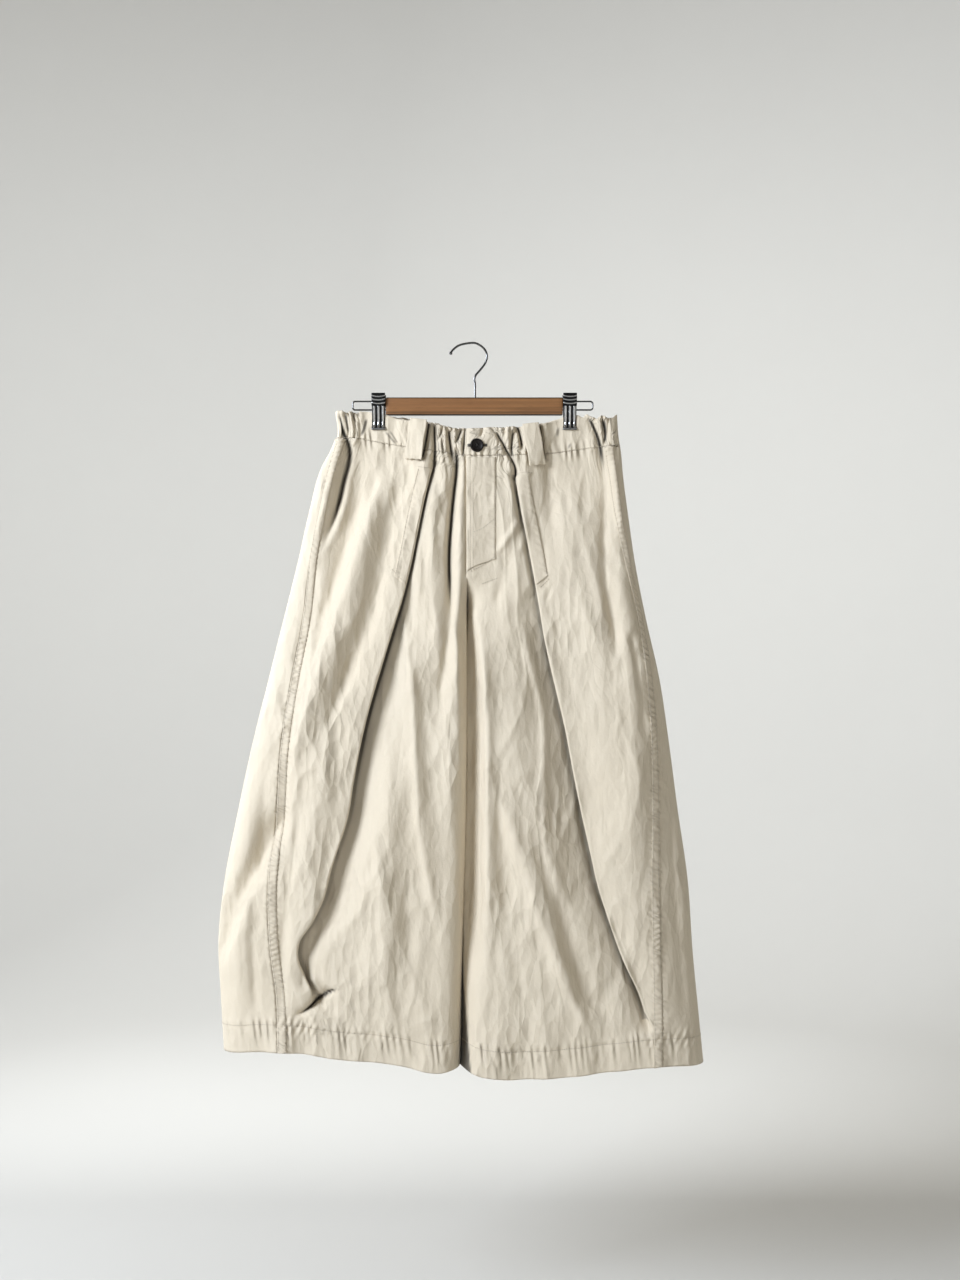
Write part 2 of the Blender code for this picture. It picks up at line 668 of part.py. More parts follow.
def waistband():
    """The two front halves, from the side seams to the fly's edge, and the back, which wraps
    round both sides."""
    drop = WAIST_DROP - 15
    seams = {LEFT: level("left_seam", drop), RIGHT: level("right_seam", drop)}
    names = {LEFT: "waistband_front_left", RIGHT: "waistband_front_right"}
    for side in (LEFT, RIGHT):
        start = seams[side] - side * SEAM_GAP / 2
        x = band_columns(FRONT_GATHERS, start, MIDDLE_X + side * SEAM_GAP / 2)
        run = waist_runs(side, x)
        mid = waist_points(side, run, BAND_ROWS, FRONT_GATHERS, WAIST_TOP)
        wall(names[side], mid, BAND_CLOTH, "cloth")
    halves = []
    for side in (LEFT, RIGHT):
        wrap = float(waist_runs(side, seams[side] + side * SEAM_GAP / 2))
        across = band_columns(BACK_GATHERS, side * 185.0, MIDDLE_X)
        back = -waist_runs(side, across)
        run = np.concatenate([np.linspace(wrap, back[0], 5)[:-1], back])
        halves.append(waist_points(side, run, BAND_ROWS, BACK_GATHERS, BACK_WAIST_TOP))
    left, right = halves
    mid = np.concatenate([left, right[:, :-1][:, ::-1]], axis=1)
    wall("waistband_back", mid, BAND_CLOTH, "cloth")


def belt_loop(loop):
    """A flat strip that stands just off the waistband, sewn down above and below it."""
    down = np.linspace(0, 1, 6)[:, None]
    over = np.linspace(-0.5, 0.5, 3)[None, :]
    drop = loop.top_drop + (loop.low_drop - loop.top_drop) * down + np.zeros_like(over)
    x = loop.top_x + (loop.low_x - loop.top_x) * down + over * LOOP_WIDTH
    clear = BAND_CLOTH / 2 + 1.3 + LOOP_CLOTH / 2
    y = half_depth(x, drop) + clear + LOOP_BOW * np.sin(pi * down)
    drop = drop + 0.12 * over * LOOP_WIDTH * np.sign(loop.top_x) * -1
    mid = np.stack([x, -loop.face * y, -drop], axis=-1)
    wall(loop.name, mid, LOOP_CLOTH, "cloth")


def turned(name, profile, steps_round, material):
    """A solid turned about the Y axis from (radius, y) points, the first and last on the axis."""
    angle = np.arange(steps_round) * 2 * pi / steps_round
    points = [(0.0, profile[0][1], 0.0)]
    for radius, y in profile[1:-1]:
        points.extend(zip((radius * np.cos(angle)).tolist(), [y] * steps_round,
                          (radius * np.sin(angle)).tolist()))
    points.append((0.0, profile[-1][1], 0.0))
    faces = []
    rings = len(profile) - 2
    for i in range(steps_round):
        j = (i + 1) % steps_round
        faces.append((0, 1 + j, 1 + i))
        for ring in range(rings - 1):
            base = 1 + ring * steps_round
            faces.append((base + i, base + j, base + steps_round + j, base + steps_round + i))
        base = 1 + (rings - 1) * steps_round
        faces.append((base + i, base + j, len(points) - 1))
    return place_mesh(name, points, faces, material)


def button():
    """Four-hole button with a raised rim, on the waistband beside the fly's edge."""
    r, t = BUTTON_RADIUS, BUTTON_THICK
    profile = [(0, -t * 0.62), (r * 0.62, -t * 0.62), (r * 0.74, -t), (r * 0.9, -t), (r, -t * 0.7),
               (r, -t * 0.3), (r * 0.86, 0), (0, 0)]
    disc = turned("button", profile, 20, "button")
    depth = float(half_depth(np.array([BUTTON_X]), np.array([BUTTON_DROP]))[0])
    front = -(depth + 0.8 + BAND_CLOTH / 2 + 1.2)
    disc.location = (BUTTON_X * MM, front * MM, -BUTTON_DROP * MM)
    for i in range(4):
        angle = pi / 4 + i * pi / 2
        bpy.ops.mesh.primitive_cylinder_add(vertices=6, radius=BUTTON_HOLE_RADIUS * MM,
                                            depth=4 * t * MM, rotation=(pi / 2, 0, 0))
        cutter = bpy.context.object
        cutter.name = f"button_hole_cutter_{i}"
        away = BUTTON_HOLE_SPREAD * MM
        cutter.location = (disc.location.x + away * np.cos(angle), disc.location.y,
                           disc.location.z + away * np.sin(angle))
        cutter.display_type = "WIRE"
        cutter.hide_render = True
        hole = disc.modifiers.new(f"hole_{i}", "BOOLEAN")
        hole.operation = "DIFFERENCE"
        hole.solver = "EXACT"
        hole.object = cutter


def tube(name, route, diameter, material, sides=8):
    """A round wire along a route of (x, y, z) points in millimetres, its ends filled."""
    route = np.asarray(route, float)
    along = np.gradient(route, axis=0)
    along /= np.linalg.norm(along, axis=1, keepdims=True)
    sideways = np.array((0.0, 1.0, 0.0))
    third = np.cross(along, sideways)
    angle = np.arange(sides) * 2 * pi / sides
    ring = (sideways[None, None] * np.cos(angle)[None, :, None]
            + third[:, None] * np.sin(angle)[None, :, None]) * diameter / 2
    points = (route[:, None] + ring).reshape(-1, 3)
    faces = [list(range(sides))]
    for i in range(len(route) - 1):
        for j in range(sides):
            k = (j + 1) % sides
            faces.append((i * sides + j, i * sides + k, (i + 1) * sides + k, (i + 1) * sides + j))
    faces.append(list(range((len(route) - 1) * sides, len(route) * sides)))
    return place_mesh(name, points, faces, material)


def hook():
    """Wire hook: round over the nail, in again below it and straight down to the bar."""
    order = np.arange(len(HOOK_ROUTE))
    fine = np.linspace(0, len(HOOK_ROUTE) - 1, 36)
    x = flow(fine, order, column(HOOK_ROUTE, "x"))
    drop = flow(fine, order, column(HOOK_ROUTE, "drop"))
    route = np.stack([x, 0 * x, -drop], axis=-1)
    tube("hanger_hook", route, HOOK_DIAMETER, "steel")


def wire_loop(side):
    """Wire loop that stands out of the bar's end and carries a clip."""
    high, low = WIRE_DROPS
    radius = (low - high) / 2
    end = WIRE_END[side] - side * (WIRE_DIAMETER / 2 + radius)
    start = (BAR_LEFT if side == LEFT else BAR_RIGHT) + side * SEAM_GAP
    angle = np.linspace(0, pi, 9)
    x = end + side * radius * np.sin(angle)
    drop = (high + low) / 2 - radius * np.cos(angle)
    x = np.concatenate([[start], x, [start]])
    drop = np.concatenate([[high], drop, [low]])
    name = "wire_loop_left" if side == LEFT else "wire_loop_right"
    tube(name, np.stack([x, 0 * x, -drop], axis=-1), WIRE_DIAMETER, "steel")


def bar():
    """Wooden bar with eased edges."""
    bpy.ops.mesh.primitive_cube_add(size=1)
    item = bpy.context.object
    item.name = item.data.name = "hanger_bar"
    size = ((BAR_RIGHT - BAR_LEFT) * MM, BAR_DEPTH * MM, (BAR_LOW - BAR_TOP) * MM)
    for vertex in item.data.vertices:
        for axis in range(3):
            vertex.co[axis] *= size[axis]
    item.location = ((BAR_LEFT + BAR_RIGHT) / 2 * MM, 0, -(BAR_TOP + BAR_LOW) / 2 * MM)
    ease = item.modifiers.new("eased_edges", "BEVEL")
    ease.width = 2.0 * MM
    ease.segments = 2
    item.data.materials.append(finish("wood"))


def clip_jaw(side, face):
    """One jaw of a clip: a thumb pad with cross ridges, upright ribs and a lip at the bottom."""
    drop = np.array(column(JAW, "drop"))[:, None]
    outer = np.array(column(JAW, "outer"))[:, None]
    inner = np.array(column(JAW, "inner"))[:, None]
    ribbed = np.array(column(JAW, "ribbed"))[:, None]
    over = np.array(JAW_COLUMNS)[None, :]
    raised = (np.arange(len(JAW_COLUMNS)) % 2)[None, :] * ribbed * JAW_RIB
    x = CLIP_X[side] + (over - 0.5) * CLIP_WIDTH + 0 * drop
    front = np.stack([x, -face * (outer - JAW_RIB * ribbed * 0.5 + raised), -drop + 0 * x], axis=-1)
    back = np.stack([x, -face * (inner + 0 * x), -drop + 0 * x], axis=-1)
    where = "left" if side == LEFT else "right"
    jaw = "front" if face > 0 else "back"
    two_sided(f"clip_{where}_{jaw}_jaw", front, back, "steel")


def hem_turn_up(name, front, back):
    """Cloth turned up inside a leg's hem: a closed band made from both panels' lowest rows,
    moved in."""
    faces = []
    for inward in (CLOTH / 2 + TRIM_GAP, CLOTH / 2 + TRIM_GAP + TRIM):
        rings = [panel.mid[HEM_ROW:] - panel.normal[HEM_ROW:] * inward for panel in (front, back)]
        faces.append(np.concatenate([rings[0], rings[1][:, ::-1]], axis=1))
    gap = np.linalg.norm(np.diff(faces[1][-1], axis=0), axis=1)
    keep = np.concatenate([[True], gap > HEM_CLOSEST])
    on_back = np.arange(faces[0].shape[1]) >= front.mid.shape[1]
    two_sided(name, faces[0][:, keep], faces[1][:, keep], "trim_cloth", closed=True,
              mirrored=on_back[keep])


def trousers():
    """Panels, strips, felled seams and hems of both halves."""
    strip = 1 + OUTER_COLUMNS
    pleat = strip + 2
    for side, where in ((LEFT, "left"), (RIGHT, "right")):
        front = front_panel(side)
        back = back_panel(side)
        panel_wall(f"front_{where}", front)
        panel_wall(f"back_{where}", back)
        strip_on_panel(f"pocket_strip_{where}", front, strip, pleat, POCKET_TOP,
                       POCKET_BOTTOM - 12, POCKET_BOTTOM)
        strip_on_panel(f"side_seam_{where}", front, 0, 1, WAIST_DROP + 2,
                       ROWS[HEM_ROW] - 2, ROWS[HEM_ROW] - 2)
        hem_turn_up(f"hem_{where}", front, back)
        if side == RIGHT:
            last = front.mid.shape[1] - 1
            strip_on_panel("fly_placket", front, last - INNER_TURNS, last, WAIST_DROP + 2,
                           FLY_OUTER_END, FLY_INNER_END)


def main():
    for item in list(bpy.data.objects):
        bpy.data.objects.remove(item, do_unlink=True)
    trousers()
    waistband()
    for loop in BELT_LOOPS:
        belt_loop(loop)
    button()
    bar()
    hook()
    for side in (LEFT, RIGHT):
        wire_loop(side)
        for face in (1, -1):
            clip_jaw(side, face)


main()
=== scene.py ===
"""Wide-leg ecru trousers hanging from a wooden clip hanger: their cloth, sewing and finishes.

Sizes are millimetres, and MM turns them into Blender's metres. A drop is a distance below the
origin, which is the inside top of the hook. Left is -X and right is +X, as seen from the front,
and the front faces -Y.
"""
from collections import namedtuple
from functools import lru_cache
from math import pi

import bmesh
import bpy
import numpy as np
from bpy.props import FloatProperty, FloatVectorProperty, PointerProperty
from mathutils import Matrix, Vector


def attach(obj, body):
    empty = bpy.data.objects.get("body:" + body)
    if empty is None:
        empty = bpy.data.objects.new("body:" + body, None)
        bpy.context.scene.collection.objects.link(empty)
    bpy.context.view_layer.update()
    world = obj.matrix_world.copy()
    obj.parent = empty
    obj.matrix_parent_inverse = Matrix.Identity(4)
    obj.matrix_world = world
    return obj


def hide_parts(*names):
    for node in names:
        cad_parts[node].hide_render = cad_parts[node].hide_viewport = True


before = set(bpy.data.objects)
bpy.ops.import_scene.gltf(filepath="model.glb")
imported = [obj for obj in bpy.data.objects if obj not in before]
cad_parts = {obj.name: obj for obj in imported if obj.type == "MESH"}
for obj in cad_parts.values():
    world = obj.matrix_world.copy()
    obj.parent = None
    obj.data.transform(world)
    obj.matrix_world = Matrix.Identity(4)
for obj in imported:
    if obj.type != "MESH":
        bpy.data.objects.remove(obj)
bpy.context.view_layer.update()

bl_info = {
    "name": "Wide-leg trousers on a clip hanger",
    "version": (1, 0, 0),
    "blender": (4, 5, 0),
    "location": "3D View > Sidebar > Trousers",
    "description": "Makes creased cotton trousers, their stitching and the hanger that holds them",
    "category": "Add Mesh",
}


def table(columns, *rows):
    """Rows of values that go by the names of their columns."""
    kind = namedtuple("Row", columns)
    return [kind(*row) for row in rows]


MM = 0.001
LEFT, RIGHT = -1, 1
FRONT, BACK = 1, -1
WHERE = {LEFT: "left", RIGHT: "right"}
FACE = {FRONT: "front", BACK: "back"}

# Walls and gaps of the cloth
SEAM_GAP = 0.3
TRIM_GAP = 0.12
TRIM = 0.5
TURN_UP_GAP = 0.35
TURN_UP = 0.8

# The middle of the front, where the fly's edge lies, and the two clips
MIDDLE_X = -8.4
CLIP_WIDTH = 19.2
CLIP_X = {LEFT: -132.0, RIGHT: 135.4}
CLIP_HALF_DEPTH = 2.3
# How far a clip's pinch is felt: the room beside it, how wide it spreads and how much wider for
# each millimetre of drop, and where and over what length it dies away
PINCH_ROOM, PINCH_SPREAD, PINCH_WIDENING = 3.0, 34.0, 0.12
PINCH_LOW, PINCH_FADE = 330.0, 195.0
CROTCH_TOP, CROTCH_LOW = 323.0, 372.0
LEG_STAGGER = 7.0
HEM_DROP = 1000.0
HEM_BAND_DROP = 962.0
WAIST_DROP = 145.0
BAND_DROP = 130.0
# How far the slant of the waist seam is felt below it, and from where on that of the hem
WAIST_FELT, HEM_FELT_FROM, HEM_FELT = 190, 700, 250

# One row for each section of the trousers. The edges and the side seams are x; half_depth is from
# the middle plane to the front; reach is how far in from the edge the side is rounded.
LEVELS = table(
    "drop left_edge left_seam right_seam right_edge half_depth reach",
    (95, -191.8, -186.5, 192.0, 200.6, 14, 24),
    (130, -189.0, -184.0, 193.5, 203.0, 15, 24),
    (155, -196.0, -190.5, 196.0, 206.6, 17, 28),
    (185, -212.0, -200.5, 199.5, 209.3, 20, 34),
    (240, -228.5, -213.5, 206.0, 216.4, 25, 42),
    (305, -244.2, -226.0, 217.5, 225.9, 30, 50),
    (385, -264.3, -235.5, 234.5, 241.5, 34, 56),
    (470, -285.5, -251.0, 247.5, 260.5, 36, 60),
    (560, -308.0, -264.5, 254.5, 273.8, 38, 64),
    (650, -327.3, -270.5, 256.2, 285.6, 40, 68),
    (750, -346.6, -280.5, 256.0, 299.8, 43, 72),
    (850, -355.5, -278.0, 257.8, 306.8, 45, 76),
    (925, -352.0, -269.5, 260.0, 314.0, 46, 80),
    (1005, -347.6, -266.0, 259.0, 322.0, 47, 80),
)

# The inner edge of each leg, from the crotch to the hem
INNER_EDGES = table(
    "drop left right",
    (323, -8.55, -8.25),
    (372, -9.2, -8.2),
    (420, -9.2, -10.4),
    (600, -9.8, -11.4),
    (730, -12.2, -13.4),
    (820, -15.0, -15.4),
    (900, -16.4, -17.4),
    (960, -17.0, -18.8),
    (1005, -19.0, -20.4),
)

# The pocket opening and the knife pleat below it. line is the x of the folded edge, lap is how
# far the cloth runs back underneath, and turn is how far it is folded: 0 is flat, 1 is folded flat
# on itself, round a bend of the given length. The outer cloth lies on top, and the cloth beyond it
# sinks by the hollow and has come up again where it is recover away.
PLEAT = "drop line lap turn bend hollow recover"
PLEATS = {
    LEFT: table(
        PLEAT,
        (130, -48.0, 0, 0.12, 4, 0, 8),
        (152, -53.0, 0, 0.12, 4, 0, 8),
        (164, -55.5, 2, 0.9, 4, 0, 8),
        (200, -64.0, 3, 1.0, 4, 0.5, 8),
        (333, -91, 4, 1.0, 4.5, 1.5, 10),
        (360, -98, 6, 1.0, 5, 5, 30),
        (386, -106, 9, 1.0, 6, 9, 44),
        (452, -126, 16, 1.0, 6, 13, 50),
        (514, -144, 22, 1.0, 6, 15, 52),
        (609, -164, 30, 1.0, 6, 16, 52),
        (654, -171, 30, 1.0, 6, 16, 52),
        (725, -193, 24, 1.0, 6, 15, 56),
        (776, -206, 14, 1.0, 7, 13, 56),
        (812, -222, 9, 1.0, 8, 11, 50),
        (836, -236, 7, 1.0, 7, 10, 44),
        (862, -239, 7, 1.0, 6, 9, 40),
        (892, -230, 5, 1.0, 6, 7, 36),
        (918, -219, 1, 0.7, 6, 3, 36),
        (945, -215, 0, 0.0, 6, 0, 40),
        (1005, -215, 0, 0.0, 6, 0, 40),
    ),
    RIGHT: table(
        PLEAT,
        (130, 50, 0, 0.12, 4, 0, 8),
        (166, 56, 0, 0.12, 4, 0, 8),
        (180, 58.5, 2, 0.9, 4, 0, 8),
        (341, 87, 4, 1.0, 4, 0, 10),
        (370, 92, 6, 1.0, 5, 3, 40),
        (413, 99, 8, 1.0, 6, 9, 60),
        (468, 111, 9, 1.0, 6, 18, 68),
        (535, 127, 12, 1.0, 6, 25, 74),
        (610, 141, 14, 1.0, 6, 28, 76),
        (708, 162, 14, 1.0, 6, 25, 72),
        (752, 172, 14, 1.0, 6, 22, 68),
        (786, 183, 12, 1.0, 6, 18, 62),
        (855, 208, 8, 1.0, 7, 12, 54),
        (902, 229, 5, 0.9, 7, 8, 46),
        (935, 238, 1, 0.6, 6, 4, 40),
        (960, 240, 0, 0.0, 6, 0, 40),
        (1005, 240, 0, 0.0, 6, 0, 40),
    ),
}
LEAST_LAP = 0.9
PLEAT_CLEAR = 3.0
# How dark the painted shade in the slit behind a pleat's edge is
SLIT_SHADE = {LEFT: 0.9, RIGHT: 0.5}
# Room that is always left between the cloth and the middle plane
LEAST_ROOM = 0.25

# Long soft folds: a crest line through three points, how far it reaches to each side and how far
# it stands out (in, where negative)
FOLD = "top_drop top_x mid_drop mid_x low_drop low_x width rise"
FRONT_FOLDS = table(
    FOLD,
    (150, -151, 300, -186, 470, -232, 20, -8),
    (165, -122, 386, -186, 640, -256, 26, 9),
    (180, -100, 386, -146, 560, -208, 17, -6),
    (560, -196, 720, -226, 900, -248, 20, 5),
    (371, -92, 610, -74, 830, -46, 12, 5),
    (158, -24, 358, -32, 540, -47, 9, -3),
    (560, -100, 750, -124, 960, -146, 26, 7),
    (600, -308, 780, -322, 960, -314, 22, 6),
    (340, 1, 582, 16, 900, 20, 13, 6),
    (600, 36, 764, 84, 975, 160, 17, 6),
    (150, 176, 260, 185, 480, 207, 13, -6),
    (340, 160, 582, 192, 860, 240, 22, 7),
    (180, 118, 302, 140, 430, 162, 18, 4),
    (300, 196, 480, 221, 760, 226, 19, 9),
)
BACK_FOLDS = table(
    FOLD,
    (150, -150, 420, -205, 900, -282, 24, 9),
    (160, -104, 400, -132, 800, -190, 22, -9),
    (170, -70, 520, -104, 980, -150, 24, 10),
    (180, -38, 430, -54, 760, -74, 17, -8),
    (330, -22, 560, -32, 960, -44, 16, 9),
    (300, 18, 560, 20, 960, 26, 16, 9),
    (170, 36, 470, 58, 820, 82, 18, -8),
    (180, 62, 520, 92, 980, 130, 24, 10),
    (160, 100, 430, 132, 860, 176, 22, -9),
    (150, 144, 420, 182, 920, 244, 24, 9),
    (560, -230, 740, -252, 980, -262, 20, -8),
    (600, 180, 780, 204, 990, 216, 20, -7),
)

# Creases placed one by one. path is (drop, x) points from the top down; left and right are how far
# the crease reaches to each side; rise is how far it stands out, and a trough's is negative; edge
# is 2 for a soft crest and nearer 1 for a sharp one; head and tail are how long it takes to fade
# in and out at its ends.
CREASE = "path left right rise edge head tail"
FRONT_CREASES = table(
    CREASE,
    # Gathers at the left end of the waistband and the folds that fall from them
    (((98, -189), (130, -179), (136, -176), (202, -182), (292, -208)), 5.2, 5.2, -13.5, 1.4, 8, 70),
    (((97, -178), (112, -176), (130, -174)), 3.1, 3.1, -7.5, 1.3, 6, 12),
    (((95, -168), (104, -166), (112, -163)), 2.6, 3.1, -4.5, 1.3, 4, 8),
    (((95, -161), (106, -159)), 2.6, 3.1, -5.25, 1.3, 4, 6),
    (((104, -149), (118, -152), (134, -158)), 3.4, 3.4, -7.5, 1.3, 6, 10),
    (((134, -151), (231, -162), (274, -173), (343, -194), (430, -226)), 9, 9, -5, 2, 14, 120),
    (((128, -164), (180, -172), (231, -179), (300, -206)), 7, 6, 4, 2, 14, 60),
    (((136, -184), (200, -198), (290, -222)), 5, 6, 3, 2, 14, 60),
    (((122, -123), (143, -106)), 2.9, 2.9, -5.25, 1.3, 5, 6),
    (((121, -117), (142, -103)), 2.3, 2.3, -4.5, 1.3, 5, 6),
    # Beside the left belt loop and in the gathers from there to the fly
    (((108, -61), (135, -65), (166, -71)), 3.6, 3.1, -10.5, 1.3, 5, 10),
    (((112, -54), (132, -53.5), (151, -53), (190, -57)), 3.6, 3.6, -12, 1.3, 6, 24),
    (((118, -44), (128, -45), (138, -49)), 2.9, 2.9, -6, 1.3, 5, 8),
    (((120, -34), (140, -32), (170, -28)), 3.4, 3.4, -12, 1.3, 6, 16),
    (((118, -16), (130, -19), (145, -26)), 3.1, 3.1, -7.5, 1.3, 6, 12),
    (((117, -10.5), (140, -12.5), (166, -14.5)), 2.6, 2.9, -7.5, 1.3, 6, 14),
    (((146, -23), (182, -23), (207, -26), (247, -30), (295, -33), (343, -32), (392, -30)),
     4.5, 5, -11, 1.5, 14, 70),
    (((343, -32), (386, -31), (440, -37), (498, -46), (540, -47)), 8, 8, -4, 2, 40, 110),
    (((190, -50), (207, -52), (279, -57), (335, -55), (400, -48), (470, -44)),
     8, 9, 4.5, 2, 30, 90),
    (((158, -42), (185, -40), (230, -41)), 6, 5, 3, 2, 12, 30),
    (((170, -14), (240, -17), (340, -19), (420, -20), (610, -20)), 5, 5, 3.5, 2, 20, 160),
    (((150, -9.6), (240, -9.6), (330, -9.2)), 1.8, 0.9, -2.6, 1.6, 6, 10),
    # The pocket strips and bar tacks pull the cloth
    (((190, -79), (221, -86), (266, -99), (318, -107)), 3, 3, -1.2, 1.4, 16, 10),
    (((150, -100), (172, -95)), 2.4, 2.4, -2, 1.4, 6, 8),
    (((166, -88), (186, -90), (214, -98)), 5, 5, -2, 1.8, 10, 20),
    (((310, -120), (334, -98)), 3, 3, -2, 1.4, 6, 6),
    (((233, 88), (288, 99.5), (326, 103)), 3, 3, -1.2, 1.4, 16, 10),
    (((326, 108), (360, 78)), 3, 3, -2.2, 1.4, 6, 8),
    (((333, 112), (372, 96)), 3, 4, -1.8, 1.4, 6, 14),
    # The right leg's hollow behind the left leg's edge
    (((366, -13), (420, -5), (480, 1), (700, 1), (880, -2)), 13, 12, -22, 4, 60, 120),
    # Left leg, the slope that its side seam lies on among them
    (((300, -216), (385, -226), (470, -241), (560, -254.5), (650, -260.5), (730, -268)),
     16, 7, -6.5, 1.8, 40, 80),
    (((150, -133), (199, -138), (239, -154), (279, -167), (335, -182), (375, -197),
      (498, -236), (600, -262)), 8, 3.5, -3.5, 1.3, 20, 150),
    (((160, -124), (199, -129), (239, -145), (279, -158), (335, -172), (375, -187),
      (498, -224), (610, -256)), 5, 14, 3, 1.8, 20, 150),
    (((186, -102), (290, -122), (386, -146), (470, -179), (560, -212)), 13, 11, -3.5, 2, 30, 120),
    (((371, -97), (469, -85), (610, -77), (668, -74), (753, -60), (830, -45)),
     4.5, 6, 3, 1.7, 30, 100),
    (((430, -112), (560, -104), (700, -100)), 12, 14, -3, 2, 60, 120),
    (((640, -98), (760, -92), (900, -84)), 9, 9, -3, 2, 60, 90),
    (((700, -126), (800, -120), (900, -116), (975, -120)), 11, 12, 3.5, 2, 60, 40),
    (((640, -256), (690, -278), (748, -308), (800, -333), (864, -357)), 24, 13, -17, 1.8, 50, 34),
    (((670, -252), (748, -294), (800, -319), (864, -344)), 7, 12, 3, 2, 40, 40),
    (((560, -282), (680, -290), (800, -300), (940, -298)), 7, 9, -3, 1.8, 80, 60),
    (((640, -238), (760, -252), (880, -262), (950, -258)), 8, 8, -3, 1.8, 60, 40),
    (((812, -212), (840, -222), (884, -233), (898, -232)), 7, 9, -4, 1.6, 20, 16),
    (((880, -226), (905, -214), (930, -196)), 6, 9, -5, 1.5, 14, 20),
    (((905, -232), (930, -222), (960, -204)), 8, 8, 4, 1.8, 18, 22),
    (((890, -186), (903, -204), (917, -222), (930, -240)), 6.5, 6.4, -11, 1.5, 8, 10),
    (((884, -200), (905, -212), (922, -232)), 9, 5, -5, 1.5, 10, 10),
    (((838, -224), (870, -222), (900, -210), (912, -196)), 6, 7, 5, 1.6, 20, 12),
    # From the fly to the crotch and the right leg, with the hollow over its hem
    (((745, 112), (813, 127), (860, 143), (905, 156), (932, 168)), 12, 24, -8.5, 1.8, 50, 26),
    (((690, 72), (760, 95), (813, 112), (860, 125), (900, 134)), 9, 8, 3.5, 2, 40, 40),
    (((113, 14), (124, 13), (134, 10)), 2.6, 2.6, -3.75, 1.4, 5, 6),
    (((114, 22), (127, 31)), 2.6, 2.6, -3.75, 1.4, 5, 6),
    (((124, 32), (140, 41), (157, 50), (170, 57), (202, 60), (246, 66), (274, 65)),
     3.2, 3.2, -9, 1.4, 8, 60),
    (((150, 33), (166, 47)), 2, 2, -2.5, 1.4, 5, 8),
    (((122, 56), (150, 54), (164, 56)), 3.1, 3.1, -7.5, 1.3, 6, 10),
    (((112, 60), (128, 65), (152, 69)), 3.1, 3.4, -10.5, 1.3, 5, 12),
    (((205, 62), (238, 68), (276, 72), (300, 60)), 6, 5, 3, 2, 18, 20),
    (((245, 66), (262, 56), (297, 31)), 5, 5, 3.5, 1.8, 12, 16),
    (((285, 48), (310, 46), (335, 42), (380, 26)), 9, 9, -4.5, 2, 20, 40),
    (((326, 36), (342, 8)), 3, 3, -1.6, 1.5, 6, 8),
    (((352, 0), (470, 10), (582, 17), (700, 20), (870, 20)), 4.5, 8, 3.5, 1.7, 30, 120),
    (((381, 66), (430, 76), (526, 98), (600, 98), (671, 98), (788, 125)), 6, 8, 4, 1.8, 30, 90),
    (((612, 31), (715, 66), (804, 95), (892, 130), (955, 162)), 6, 10, 4, 1.7, 60, 40),
    (((560, 34), (700, 44), (840, 58), (950, 70)), 10, 10, -3, 2, 80, 60),
    (((480, 116), (535, 130), (610, 144), (752, 175), (827, 202), (902, 233), (955, 246)),
     9, 16, -6.5, 1.7, 90, 40),
    (((860, 196), (910, 186), (950, 190)), 12, 12, -4, 2, 30, 30),
    (((752, 168), (775, 176), (800, 190)), 5, 5, -3.5, 1.5, 14, 16),
    (((340, 110), (420, 122), (540, 148), (680, 176)), 12, 12, -3, 2, 50, 130),
    # Right hip
    (((113, 93), (140, 96), (168, 101)), 2.9, 3.1, -9, 1.3, 5, 8),
    (((116, 119), (134, 117)), 3.1, 3.4, -5.25, 1.4, 6, 8),
    (((134, 111), (150, 107)), 2.6, 2.9, -3.75, 1.4, 5, 6),
    (((136, 125), (150, 121)), 2.6, 2.9, -3.75, 1.4, 5, 6),
    (((138, 137), (150, 132)), 2.6, 2.9, -4.5, 1.4, 5, 6),
    (((136, 150), (149, 148)), 2.6, 2.9, -3.75, 1.4, 5, 6),
    (((102, 162), (137, 176), (154, 179), (190, 184)), 4.2, 4.2, -13.5, 1.3, 8, 40),
    (((148, 179), (199, 186), (246, 183), (295, 182), (343, 184), (414, 197), (470, 207)),
     7, 7, -5.5, 1.6, 20, 110),
    (((106, 182), (126, 185), (144, 183)), 3.4, 3.4, -9, 1.3, 6, 10),
    (((122, 196), (136, 197), (150, 201)), 2.9, 2.9, -5.25, 1.3, 6, 8),
    (((160, 108), (210, 108), (262, 110)), 8, 8, -3, 2, 20, 40),
    (((175, 131), (240, 146), (343, 171), (420, 190)), 10, 10, 3.5, 2, 40, 80),
    (((160, 197), (231, 203), (279, 217), (330, 226)), 5, 5, 3.5, 1.8, 20, 40),
    (((395, 214), (440, 224), (500, 232), (560, 236)), 8, 6, -4.5, 1.6, 24, 50),
    (((345, 226), (370, 234), (410, 239)), 3, 3, -2.2, 1.4, 10, 14),
    (((560, 268), (700, 276), (840, 284), (950, 292)), 8, 8, -3, 1.8, 80, 50),
)
